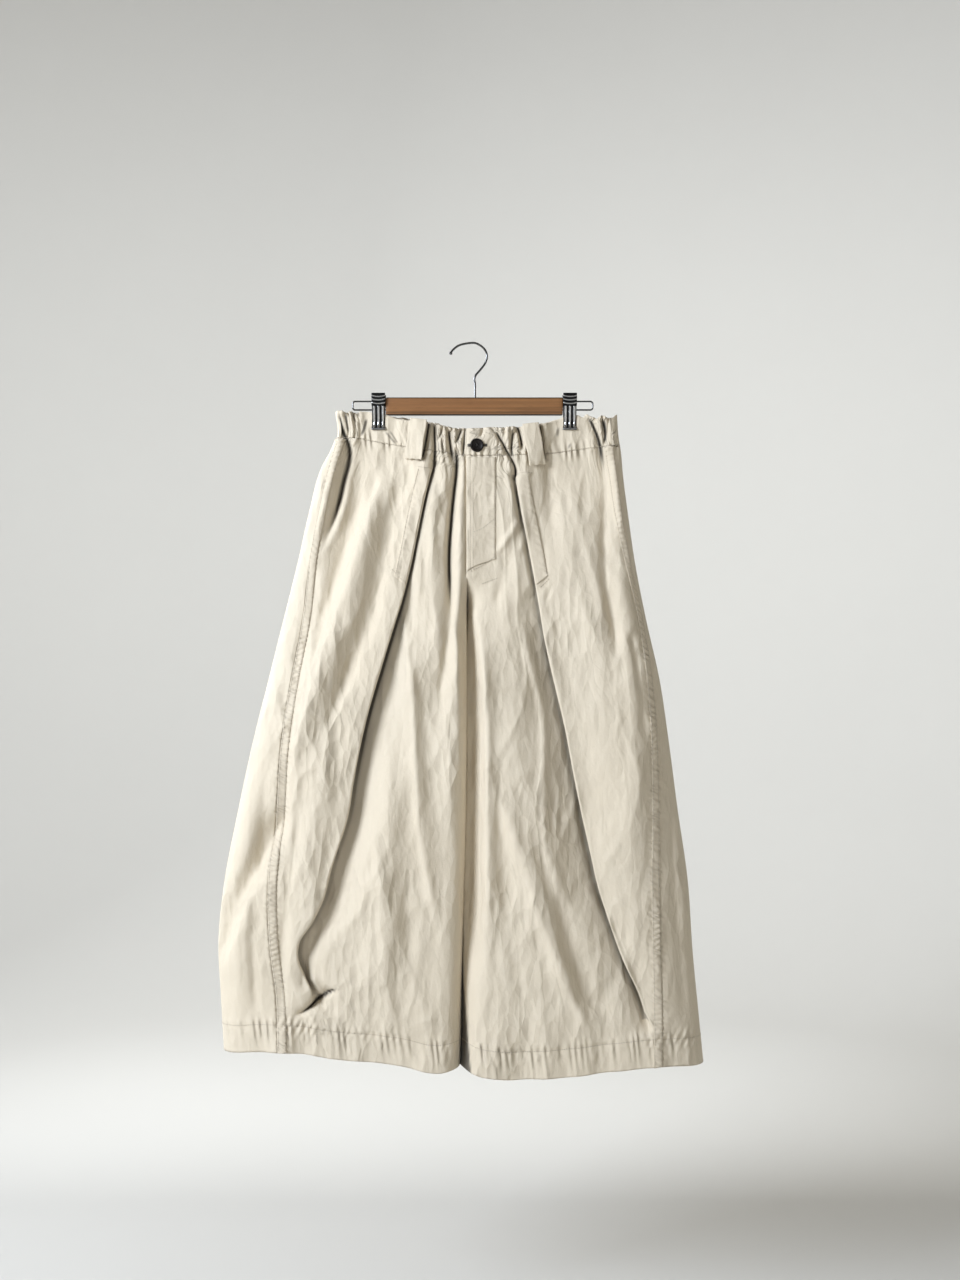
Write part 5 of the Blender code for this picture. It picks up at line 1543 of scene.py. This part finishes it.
def wire_loop(side, finish):
    """Wire loop that stands out of the bar's end and carries a clip: two straight runs joined
    by an end with tight round corners."""
    high, low = WIRE_DROPS
    radius = 3.4
    end = WIRE_END[side] - side * (WIRE_DIAMETER / 2 + radius)
    start = (BAR_LEFT if side == LEFT else BAR_RIGHT) + side * 0.3
    turn = np.linspace(0, pi / 2, 8)
    out, over = radius * np.sin(turn), radius * np.cos(turn)
    upper = np.stack([end + side * out, high + radius - over], axis=-1)
    lower = np.stack([end + side * over, low - radius + out], axis=-1)
    ahead = np.stack([np.linspace(start, end, 14)[:-1], np.full(13, high)], axis=-1)
    home = np.stack([np.linspace(end, start, 14)[1:], np.full(13, low)], axis=-1)
    flat = np.concatenate([ahead, upper, lower, home])
    route = np.stack([flat[:, 0], 0 * flat[:, 0], -flat[:, 1]], axis=-1)
    name = f"wire_loop_{WHERE[side]}"
    wire_mesh("bent_" + name, [route], WIRE_DIAMETER, 14, finish, name)


def clip_jaw(side, face, finish):
    """One jaw of a clip: a thumb pad with cross ridges, three upright ribs between grooves and a
    lip at the bottom, on a plate rounded off at its sides."""
    drop = np.linspace(JAW[0].drop, JAW[-1].drop, 96)[:, None]
    over = np.linspace(-0.5, 0.5, 49)[None, :]
    outer = flow(drop, column(JAW, "drop"), column(JAW, "outer"))
    inner = flow(drop, column(JAW, "drop"), column(JAW, "inner"))
    ribbed = soft((drop - 87.8) / 1.2) * soft((118.0 - drop) / 1.0)
    ribs = np.cos(2 * pi * 3 * over) * ribbed
    ribs = np.sign(ribs) * np.sqrt(np.abs(ribs)) * soft((0.5 - np.abs(over)) / 0.05)
    bowed = drop + 1.5 * (2 * over) ** 2
    ridges = sum(np.exp(-((bowed - place) / 0.62) ** 2) for place in PAD_RIDGES)
    lip = np.exp(-((drop - 119.6) / 1.2) ** 2)
    edge = 0.9 * (2 * np.abs(over)) ** 14
    depth = outer + JAW_RIB * ribs - 0.3 + 0.8 * ridges + 0.3 * lip - edge
    narrow = 1 - 0.05 * soft((drop - 86) / 3) * soft((116.4 - drop) / 1.5)
    x = CLIP_X[side] + over * CLIP_WIDTH * narrow
    front = np.stack([x, -face * depth, -drop + 0 * x], axis=-1)
    back = np.stack([x, -face * (inner + 0 * x), -drop + 0 * x], axis=-1)
    if face == BACK:
        front, back = front[:, ::-1], back[:, ::-1]
    name = f"clip_{WHERE[side]}_{FACE[face]}_jaw"
    piece = between("pressed_" + name, front, back, sharp=0.9)
    # Painted shade mask: 1 turns the steel near black, in the grooves between the ribs, on the pad
    # between its ridges and on the whole inner face
    groove = np.clip(0.5 - 1.2 * ribs, 0, 1) * ribbed
    groove = groove + (1 - np.clip(ridges, 0, 1)) * (1 - ribbed) * (1 - 0.4 * lip)
    mark_points(piece, "groove", np.stack([groove[:, ::-face], np.ones_like(groove)]))
    dress(piece, finish, name)


class Value:
    """A number on a shader socket, so that maths on it can be written as an expression."""

    def __init__(self, finish, socket):
        self.finish = finish
        self.socket = socket

    def maths(self, operation, first, second=0.0):
        """A Math node's result."""
        return self.finish.add("ShaderNodeMath", {"operation": operation},
                               {"Value": first, "Value_001": second})

    def __add__(self, other):
        return self.maths("ADD", self, other)

    def __sub__(self, other):
        return self.maths("SUBTRACT", self, other)

    def __rsub__(self, other):
        return self.maths("SUBTRACT", other, self)

    def __mul__(self, other):
        return self.maths("MULTIPLY", self, other)

    def __pow__(self, other):
        return self.maths("POWER", self, other)

    def __abs__(self):
        return self.maths("ABSOLUTE", self)

    __radd__ = __add__
    __rmul__ = __mul__

    def sine(self):
        """Its sine."""
        return self.maths("SINE", self)


class Finish:
    """A material and the tree that colours it."""

    def __init__(self, name, roughness, metallic=0.0, **fixed):
        self.material = bpy.data.materials.new(name)
        self.material.use_nodes = True
        self.tree = self.material.node_tree
        self.shader = self.tree.nodes["Principled BSDF"]
        self.put(self.shader, {"Roughness": roughness, "Metallic": metallic, **fixed})

    def put(self, node, sockets):
        """Sets or links a node's input sockets, each named by its identifier."""
        for socket in node.inputs:
            if socket.identifier in sockets:
                value = sockets[socket.identifier]
                if isinstance(value, Value):
                    self.tree.links.new(value.socket, socket)
                else:
                    socket.default_value = value

    def add(self, kind, settings, sockets, output=0):
        """A node of a type: its settings first, and then the values or links of its sockets."""
        node = self.tree.nodes.new(kind)
        for setting, value in settings.items():
            setattr(node, setting, value)
        self.put(node, sockets)
        return Value(self, node.outputs[output])

    def mark(self, name):
        """A share that the pieces carry at their points."""
        return self.add("ShaderNodeAttribute", {"attribute_name": name}, {}, output=2)

    def places(self, stretch=(1.0, 1.0, 1.0), turn=(0.0, 0.0, 0.0), run=False):
        """Object coordinates or the distance run along the cloth, in metres, each axis stretched
        and turned."""
        if run:
            start = self.add("ShaderNodeUVMap", {"uv_map": "cloth_run"}, {})
        else:
            start = self.add("ShaderNodeTexCoord", {}, {}, output=3)
        return self.add("ShaderNodeMapping", {},
                        {"Vector": start, "Scale": stretch, "Rotation": turn})

    def along(self, places, axis):
        """How far places lie along an axis."""
        return self.add("ShaderNodeSeparateXYZ", {}, {"Vector": places}, output=axis)

    def noise(self, places, scale, detail=2.0, roughness=0.5, distortion=0.0):
        """Noise from 0 to 1."""
        return self.add("ShaderNodeTexNoise", {},
                        {"Vector": places, "Scale": scale, "Detail": detail,
                         "Roughness": roughness, "Distortion": distortion})

    def between(self, share, first, second):
        """A colour between two colours."""
        return self.add("ShaderNodeMix", {"data_type": "RGBA"},
                        {"Factor_Float": share, "A_Color": first, "B_Color": second}, output=2)

    def raised(self, height, distance, below=None):
        """Bump of a height from 0 to 1, in metres, on top of another bump."""
        sockets = {"Height": height, "Distance": distance, "Strength": 1.0}
        if below is not None:
            sockets["Normal"] = below
        return self.add("ShaderNodeBump", {}, sockets)

    def done(self, colour, normal=None, roughness=None):
        """Feeds the shader and gives the material."""
        sockets = {"Base Color": colour}
        if normal is not None:
            sockets["Normal"] = normal
        if roughness is not None:
            sockets["Roughness"] = roughness
        self.put(self.shader, sockets)
        return self.material


def shade(colour, share):
    """A colour with its brightness multiplied, with a full alpha."""
    return (*(channel * share for channel in colour), 1.0)


def cloth_finish(name, colour, pitch):
    """Ecru cotton: a plain weave with slubs, pressed creases too small to model, and cloth that
    has yellowed and greyed unevenly. Painted shade turns it almost black where fold_shade is 1."""
    finish = Finish(name, 0.85, **{"Sheen Weight": 0.12, "Sheen Roughness": 0.45, "IOR": 1.4})
    run, plain = finish.places(run=True), finish.places()
    warp, weft = (finish.along(run, axis) for axis in (0, 1))
    east, up = (finish.along(plain, axis) for axis in (0, 2))
    thread = 2 * pi / pitch
    weave = (warp * thread).sine() * (weft * thread).sine() * 0.5 + 0.5
    slub_down = finish.noise(finish.places((1500.0, 45.0, 1.0), run=True), 1.0, 1.0)
    slub_across = finish.noise(finish.places((45.0, 1500.0, 1.0), run=True), 1.0, 1.0)
    slub = (slub_down + slub_across) * 0.5
    body = finish.places((1.0, 1.0, 0.36), (0.0, 0.25, 0.0))
    large = abs(finish.noise(body, 44.0, 1.0, 0.45, 0.5) * 2.0 - 1.0) ** 0.8
    body_small = finish.places((1.0, 1.0, 0.6), (0.0, -0.4, 0.3))
    small = finish.noise(body_small, 120.0, 2.0, 0.5, 0.3)
    drift_across = finish.noise(finish.places((34.0, 4.0, 3.0)), 1.0, 1.0)
    drift_down = finish.noise(finish.places((10.0, 10.0, 38.0)), 1.0, 1.0)
    uneven = finish.noise(finish.places((26.0, 26.0, 1.0), run=True), 1.0, 1.0)
    across = finish.mark("sewn_across")
    down = finish.mark("sewn_down")
    rope = ((east + up * 0.15) * (2 * pi / 0.0115) + drift_across * 16.0).sine() * 0.5 + 0.5
    cross = ((up + east * 0.6) * (2 * pi / 0.0102) + drift_down * 13.0).sine() * 0.5 + 0.5
    pucker = (rope * across + cross * down) * (uneven * 3.0 - 0.5)
    drawn = finish.mark("gathered")
    tuck = finish.noise(finish.places((120.0, 14.0, 1.0), run=True), 1.0, 1.0, 0.5, 0.4)
    tuck = abs(tuck * 2.0 - 1.0) ** 0.7 * drawn
    patch = finish.noise(plain, 7.0, 1.0)
    bent = finish.places((1.0, 1.0, 0.42), (0.0, 0.3, 0.2))
    crumple = finish.add("ShaderNodeTexVoronoi", {"feature": "F1"},
                         {"Vector": bent, "Scale": 34.0, "Detail": 1.0, "Roughness": 0.5,
                          "Lacunarity": 2.3})
    crumple = crumple * (patch * 3.6 - 0.9)
    tone = finish.noise(plain, 4.5, 3.0, 0.6)
    mottle = finish.noise(plain, 60.0, 2.0, 0.6)
    red, green, blue = colour
    yellowed = shade((red, green * 0.975, blue * 0.93), 0.96)
    warm = finish.between(tone, shade(colour, 1.03), yellowed)
    worn = finish.between(mottle * 0.35, warm, shade(colour, 0.9))
    threads = finish.between(slub * 0.25, worn, shade(colour, 0.86))
    # Painted shade: the fold_shade mark turns the cloth almost black in deep crease bottoms, the
    # slit behind a pleat's edge and the gap behind the left leg's inner edge
    deep = finish.mark("fold_shade")
    shadow = shade((red, green * 0.84, blue * 0.62), 0.03)
    threads = finish.between(deep, threads, shadow)
    normal = finish.raised(weave, 0.00006)
    normal = finish.raised(slub, 0.00022, normal)
    normal = finish.raised(small, 0.0008, normal)
    normal = finish.raised(large, 0.0009, normal)
    normal = finish.raised(crumple, 0.0045, normal)
    normal = finish.raised(tuck, 0.0042, normal)
    normal = finish.raised(pucker, 0.0019, normal)
    return finish.done(threads, normal, 0.76 + mottle * 0.16)


def thread_finish(colour):
    """Twisted sewing thread."""
    finish = Finish("thread", 0.7)
    twist = finish.noise(finish.places(), 900.0, 2.0)
    return finish.done(finish.between(twist, shade(colour, 0.82), shade(colour, 1.05)),
                       finish.raised(twist, 0.0002))


def shadow_finish(colour):
    """Painted shadow in the buttonhole's slit: a near-black sheet with slightly lighter flecks."""
    finish = Finish("buttonhole_shadow", 0.95)
    shadow_flecks = finish.noise(finish.places(), 1400.0, 3.0)
    return finish.done(finish.between(shadow_flecks, shade(colour, 0.02), shade(colour, 0.16)))


def wood_finish(colour):
    """Oiled hardwood: growth lines drawn out along the bar, short dark pores and a worn sheen, and
    painted shade in near-black lines along its top edge, the top of its lower slope and its bottom
    edge.
    """
    finish = Finish("wood", 0.45, **{"Coat Weight": 0.12, "Coat Roughness": 0.3})
    rings = finish.noise(finish.places((3.5, 150.0, 260.0), (0.0, 0.05, 0.0)), 1.0, 5.0, 0.62, 0.9)
    pores = finish.noise(finish.places((70.0, 1700.0, 1700.0)), 1.0, 2.0, 0.6)
    tint = finish.noise(finish.places((7.0, 30.0, 40.0)), 1.0, 3.0)
    grain = finish.between((rings - 0.32) * 2.6, shade(colour, 0.62), shade(colour, 1.3))
    grain = finish.between((pores - 0.55) * 3.0, grain, shade(colour, 0.42))
    grain = finish.between((tint - 0.35) * 1.4, grain,
                           shade((colour[0], colour[1] * 0.84, colour[2] * 0.7), 0.86))
    # Painted shade: near-black lines along the top edge, where the lower slope begins and along the
    # bottom edge
    drop = finish.along(finish.places(), 2) * (-1 / MM)
    dark = shade(colour, 0.1)
    grain = finish.between((BAR_TOP + 2.0 - drop) * 1.1, grain, dark)
    grain = finish.between(1.1 - abs(drop - (BAR_LOW - 3.6)) * 1.6, grain, dark)
    grain = finish.between((drop - (BAR_LOW - 1.4)) * 1.1, grain, dark)
    return finish.done(grain, finish.raised(pores * 0.4 + rings * 0.6, 0.0003), 0.36 + rings * 0.2)


def steel_finish(colour):
    """Bright wire with faint drawing marks and smudges."""
    finish = Finish("steel", 0.2, 1.0)
    smudge = finish.noise(finish.places(), 140.0, 4.0, 0.65)
    marks = finish.noise(finish.places((900.0, 900.0, 40.0)), 1.0, 2.0)
    return finish.done(finish.between(smudge, shade(colour, 0.12), shade(colour, 0.42)),
                       finish.raised(marks, 0.00003), 0.14 + smudge * 0.22)


def jaw_finish(colour):
    """Pressed bright steel with painted shade: near black where the groove mark is 1, in the
    grooves, on the pad between its ridges and on the inner face.
    """
    finish = Finish("pressed_steel", 0.2, 1.0)
    groove = finish.mark("groove")
    smudge = finish.noise(finish.places(), 220.0, 4.0, 0.65)
    speckle = finish.noise(finish.places(), 900.0, 2.0)
    bright = finish.between(smudge, shade(colour, 1.2), shade(colour, 1.8))
    # Painted shade, mottled by noise
    dark = finish.between(speckle, shade(colour, 0.01), shade(colour, 0.06))
    return finish.done(finish.between(groove, bright, dark), finish.raised(speckle, 0.00004),
                       0.16 + smudge * 0.12 + groove * 0.25)


def horn_finish(colour):
    """Polished dark horn with slightly lighter streaks."""
    finish = Finish("button", 0.4, **{"Coat Weight": 0.03, "Coat Roughness": 0.2, "IOR": 1.3})
    streak = finish.noise(finish.places((60.0, 240.0, 420.0), (0.0, 0.4, 0.0)), 1.0, 4.0, 0.6, 1.2)
    scuff = finish.noise(finish.places(), 700.0, 3.0)
    return finish.done(finish.between(streak * 0.7, shade(colour, 0.6), shade(colour, 2.0)),
                       finish.raised(scuff, 0.00004), 0.3 + scuff * 0.22)


def floor_finish():
    """Matt pale studio floor."""
    finish = Finish("studio_floor", 0.9)
    grain = finish.noise(finish.places(), 3.0, 3.0)
    return finish.done(finish.between(grain, (0.60, 0.586, 0.55, 1.0), (0.615, 0.601, 0.565, 1.0)))


class TrouserSizes(bpy.types.PropertyGroup):
    """Sizes of the cloth and of its sewing."""

    cloth: FloatProperty(name="Cloth", description="Thickness of the panels' cloth",
                         default=0.0012, min=0.0005, max=0.003, unit="LENGTH", precision=4)
    band: FloatProperty(name="Waistband", description="Thickness of the waistband's cloth",
                        default=0.0016, min=0.0005, max=0.003, unit="LENGTH", precision=4)
    stitch: FloatProperty(name="Stitch", description="Length of one stitch",
                          default=0.0026, min=0.0015, max=0.005, unit="LENGTH", precision=4)
    thread: FloatProperty(name="Thread", description="Width of the sewing thread",
                          default=0.0008, min=0.0003, max=0.0012, unit="LENGTH", precision=4)
    weave: FloatProperty(name="Weave", description="Distance between two threads of the weave",
                         default=0.0008, min=0.0004, max=0.002, unit="LENGTH", precision=4)


class TrouserColours(bpy.types.PropertyGroup):
    """Colours of the cloth, the sewing and the hanger."""

    cloth: FloatVectorProperty(name="Cloth", description="Ecru cotton", subtype="COLOR", size=3,
                               default=(0.715, 0.63, 0.495), min=0.0, max=1.0)
    trim: FloatVectorProperty(name="Trim", description="Seam bands, facings and turned-up hems",
                              subtype="COLOR", size=3, default=(0.70, 0.615, 0.482),
                              min=0.0, max=1.0)
    thread: FloatVectorProperty(name="Thread", description="Sewing thread", subtype="COLOR", size=3,
                                default=(0.50, 0.43, 0.33), min=0.0, max=1.0)
    wood: FloatVectorProperty(name="Wood", description="Oiled wooden bar", subtype="COLOR", size=3,
                              default=(0.262, 0.118, 0.038), min=0.0, max=1.0)
    steel: FloatVectorProperty(name="Steel", description="Hook, wires and clips", subtype="COLOR",
                               size=3, default=(0.5, 0.5, 0.5), min=0.0, max=1.0)
    button: FloatVectorProperty(name="Button", description="Dark horn button", subtype="COLOR",
                                size=3, default=(0.007, 0.005, 0.004), min=0.0, max=1.0)


class StudioSettings(bpy.types.PropertyGroup):
    """Light of the studio."""

    key: FloatProperty(name="Key light", description="Power of the large lamp up on the left",
                       default=74.0, min=0.0, max=500.0, unit="POWER")
    fill: FloatProperty(name="Fill light", description="Power of the lamp low on the right",
                        default=1.5, min=0.0, max=500.0, unit="POWER")
    wall: FloatProperty(name="Wall light", description="Power of the lamp that lights the wall",
                        default=37.0, min=0.0, max=500.0, unit="POWER")
    back: FloatProperty(name="Back light", description="Power of the lamp behind the trousers",
                        default=42.0, min=0.0, max=500.0, unit="POWER")
    sky: FloatProperty(name="Sky", description="Strength of the light from all round",
                       default=0.17, min=0.0, max=5.0)


Sizes = namedtuple("Sizes", "cloth_thickness band_thickness stitch_length thread_width")


def sizes_of(context):
    """The size properties in millimetres."""
    chosen = context.scene.trouser_sizes
    return Sizes(*(size / MM for size in (chosen.cloth, chosen.band, chosen.stitch, chosen.thread)))


def finish_of(context, name):
    """The named finish, made the first time that it is asked for."""
    if name in bpy.data.materials:
        return bpy.data.materials[name]
    colours = context.scene.trouser_colours
    weave = context.scene.trouser_sizes.weave
    makers = {
        "cotton": lambda: cloth_finish("cotton", colours.cloth, weave),
        "cotton_trim": lambda: cloth_finish("cotton_trim", colours.trim, weave),
        "thread": lambda: thread_finish(colours.thread),
        "button_thread": lambda: thread_finish([share * 0.06 for share in colours.thread]),
        "buttonhole_shadow": lambda: shadow_finish(colours.cloth),
        "oiled_wood": lambda: wood_finish(colours.wood),
        "wire_steel": lambda: steel_finish(colours.steel),
        "pressed_steel": lambda: jaw_finish(colours.steel),
        "horn": lambda: horn_finish(colours.button),
        "studio_floor": floor_finish,
    }
    material = makers[name]()
    material.name = name
    return material


class TROUSERS_OT_panels(bpy.types.Operator):
    """Make the front and back panels of both legs"""

    bl_idname = "trousers.panels"
    bl_label = "Panels"

    def execute(self, context):
        sizes = sizes_of(context)
        finish = finish_of(context, "cotton")
        for (side, face), panel in body_panels().items():
            held_by = f"waistband_front_{WHERE[side]}" if face == FRONT else "waistband_back"
            cloth(f"{FACE[face]}_{WHERE[side]}", panel, sizes.cloth_thickness, finish, [held_by])
        return {"FINISHED"}


class TROUSERS_OT_waistband(bpy.types.Operator):
    """Make the gathered waistband"""

    bl_idname = "trousers.waistband"
    bl_label = "Waistband"

    def execute(self, context):
        sizes = sizes_of(context)
        finish = finish_of(context, "cotton")
        for place, band in band_panels().items():
            if place == "back":
                name, clips = "waistband_back", ["clip_left_back_jaw", "clip_right_back_jaw"]
            else:
                name = f"waistband_front_{WHERE[place]}"
                clips = [f"clip_{WHERE[place]}_front_jaw"]
            cloth(name, band, sizes.band_thickness, finish, clips)
        return {"FINISHED"}


class TROUSERS_OT_belt_loops(bpy.types.Operator):
    """Make the belt loops"""

    bl_idname = "trousers.belt_loops"
    bl_label = "Belt loops"

    def execute(self, context):
        sizes = sizes_of(context)
        for loop in BELT_LOOPS:
            side = RIGHT if loop.top_x > 0 else LEFT
            under = "waistband_back" if loop.face == BACK else f"waistband_front_{WHERE[side]}"
            cloth(loop.name, belt_loop(loop, sizes.band_thickness), LOOP_THICK,
                  finish_of(context, "cotton"), [under])
        return {"FINISHED"}


class TROUSERS_OT_seams_and_hems(bpy.types.Operator):
    """Make the seam bands, pocket strips, fly and turned-up hems"""

    bl_idname = "trousers.seams_and_hems"
    bl_label = "Seams and hems"

    def execute(self, context):
        sizes = sizes_of(context)
        finish = finish_of(context, "cotton_trim")
        panels = body_panels()
        for side in (LEFT, RIGHT):
            seam_band(side, sizes, finish)
            pocket_strip(side, panels[side, FRONT], sizes, finish)
            turn_up(side, panels[side, FRONT], panels[side, BACK], sizes, finish)
        fly_placket(panels[RIGHT, FRONT], sizes, finish)
        return {"FINISHED"}


class TROUSERS_OT_sewing(bpy.types.Operator):
    """Make the stitches"""

    bl_idname = "trousers.sewing"
    bl_label = "Sewing"

    def execute(self, context):
        sizes = sizes_of(context)
        loops = [belt_loop(loop, sizes.band_thickness) for loop in BELT_LOOPS]
        sewing(body_panels(), band_panels(), loops, sizes, finish_of(context, "thread"))
        return {"FINISHED"}


class TROUSERS_OT_button(bpy.types.Operator):
    """Make the button and its buttonhole"""

    bl_idname = "trousers.button"
    bl_label = "Button"

    def execute(self, context):
        sizes = sizes_of(context)
        thread = finish_of(context, "button_thread")
        button(sizes, finish_of(context, "horn"), thread)
        buttonhole(band_panels()[RIGHT], sizes, thread, finish_of(context, "buttonhole_shadow"))
        return {"FINISHED"}


class TROUSERS_OT_hanger(bpy.types.Operator):
    """Make the hanger's bar, hook and wire loops"""

    bl_idname = "trousers.hanger"
    bl_label = "Hanger"

    def execute(self, context):
        bar(finish_of(context, "oiled_wood"))
        hook(finish_of(context, "wire_steel"))
        for side in (LEFT, RIGHT):
            wire_loop(side, finish_of(context, "wire_steel"))
        return {"FINISHED"}


class TROUSERS_OT_clips(bpy.types.Operator):
    """Make the jaws of both clips"""

    bl_idname = "trousers.clips"
    bl_label = "Clips"

    def execute(self, context):
        for side in (LEFT, RIGHT):
            for face in (FRONT, BACK):
                clip_jaw(side, face, finish_of(context, "pressed_steel"))
        return {"FINISHED"}


# The photograph's frame: its width and height, its scale at the object, and where the origin is
PHOTO_WIDTH, PHOTO_HEIGHT = 960, 1280
MM_A_PIXEL = 1.4
ORIGIN_PIXEL = (473, 344)
LENS = 40.0
SENSOR = 36.0
FLOOR_DROP = 1420.0
FLOOR_RADIUS, FLOOR_CURVE, WALL_HEIGHT = 1.9, 1.1, 4.6


def lamp(name, place, aim, size, power, colour):
    """A square soft lamp that faces a place."""
    light = bpy.data.lights.new(name, "AREA")
    light.size = size
    light.energy = power
    light.color = colour
    item = linked(name, light)
    item.location = place
    item.rotation_euler = (Vector(aim) - Vector(place)).to_track_quat("-Z", "Y").to_euler()
    item.visible_camera = False


def studio_floor(finish):
    """Pale floor turned about the vertical axis: flat in the middle, then a quarter round up into
    a wall on every side, so that no edge of it shows."""
    rise = np.linspace(0, pi / 2, 24)
    radius = np.concatenate([np.linspace(0.0005, FLOOR_RADIUS, 8),
                             FLOOR_RADIUS + FLOOR_CURVE * np.sin(rise)[1:],
                             [FLOOR_RADIUS + FLOOR_CURVE]])
    height = np.concatenate([np.zeros(8), FLOOR_CURVE * (1 - np.cos(rise))[1:], [WALL_HEIGHT]])
    angle = np.arange(96) * 2 * pi / 96
    grid = np.stack([radius[:, None] * np.cos(angle), radius[:, None] * np.sin(angle),
                     height[:, None] - FLOOR_DROP * MM + 0 * angle], axis=-1) / MM
    floor = grid_mesh("studio_floor", grid, closed=True)
    floor.data.materials.append(finish)


class TROUSERS_OT_studio(bpy.types.Operator):
    """Make the floor, the lights and the camera"""

    bl_idname = "trousers.studio"
    bl_label = "Studio"

    def execute(self, context):
        studio = context.scene.trouser_studio
        studio_floor(finish_of(context, "studio_floor"))
        middle = np.array(((PHOTO_WIDTH / 2 - ORIGIN_PIXEL[0]) * MM_A_PIXEL * MM, 0.0,
                           -(PHOTO_HEIGHT / 2 - ORIGIN_PIXEL[1]) * MM_A_PIXEL * MM))
        away = PHOTO_HEIGHT * MM_A_PIXEL * MM * LENS / SENSOR
        lamp("key_light", (-1.85, -1.4, 0.5), (0.0, 0.0, -0.5), 0.9, studio.key,
             (0.885, 0.965, 1.1))
        lamp("fill_light", (1.9, -1.6, -0.6), (0.0, 0.0, -0.5), 1.6, studio.fill, (1.0, 0.93, 0.82))
        lamp("wall_light", (0.0, 0.7, 0.3), (0.0, 3.0, 0.1), 2.4, studio.wall, (0.94, 0.97, 1.0))
        lamp("back_light", (-1.7, 1.3, 0.5), (0.0, 0.0, 0.3), 1.2, studio.back, (0.95, 0.98, 1.02))
        world = bpy.data.worlds.new("studio_sky")
        context.scene.world = world
        world.use_nodes = True
        sky = world.node_tree.nodes["Background"]
        sky.inputs["Color"].default_value = (1.0, 0.88, 0.71, 1.0)
        sky.inputs["Strength"].default_value = studio.sky
        camera = bpy.data.cameras.new("camera")
        camera.lens = LENS
        camera.sensor_width = SENSOR
        item = linked("camera", camera)
        item.location = middle - np.array((0.0, away, 0.0))
        item.rotation_euler = (pi / 2, 0.0, 0.0)
        context.scene.camera = item
        context.scene.view_settings.view_transform = "Standard"
        return {"FINISHED"}


class TROUSERS_PT_panel(bpy.types.Panel):
    """Sidebar panel with the sizes, the colours and a button for each group of pieces"""

    bl_label = "Trousers"
    bl_idname = "TROUSERS_PT_panel"
    bl_space_type = "VIEW_3D"
    bl_region_type = "UI"
    bl_category = "Trousers"

    def draw(self, context):
        for settings in (context.scene.trouser_sizes, context.scene.trouser_colours,
                         context.scene.trouser_studio):
            box = self.layout.box()
            for name in settings.__annotations__:
                box.prop(settings, name)
        for operator in OPERATORS:
            self.layout.operator(operator.bl_idname)


OPERATORS = (TROUSERS_OT_studio, TROUSERS_OT_panels, TROUSERS_OT_waistband, TROUSERS_OT_belt_loops,
             TROUSERS_OT_seams_and_hems, TROUSERS_OT_sewing, TROUSERS_OT_button,
             TROUSERS_OT_hanger, TROUSERS_OT_clips)
CLASSES = (TrouserSizes, TrouserColours, StudioSettings, *OPERATORS, TROUSERS_PT_panel)


def register():
    """Adds the classes and the scene's settings."""
    for item in CLASSES:
        bpy.utils.register_class(item)
    bpy.types.Scene.trouser_sizes = PointerProperty(type=TrouserSizes)
    bpy.types.Scene.trouser_colours = PointerProperty(type=TrouserColours)
    bpy.types.Scene.trouser_studio = PointerProperty(type=StudioSettings)


def unregister():
    """Takes them away again."""
    del bpy.types.Scene.trouser_studio
    del bpy.types.Scene.trouser_colours
    del bpy.types.Scene.trouser_sizes
    for item in reversed(CLASSES):
        bpy.utils.unregister_class(item)


def main():
    """Makes everything, in order."""
    register()
    for operator in OPERATORS:
        group, action = operator.bl_idname.split(".")
        getattr(getattr(bpy.ops, group), action)()


if __name__ == "__main__":
    main()
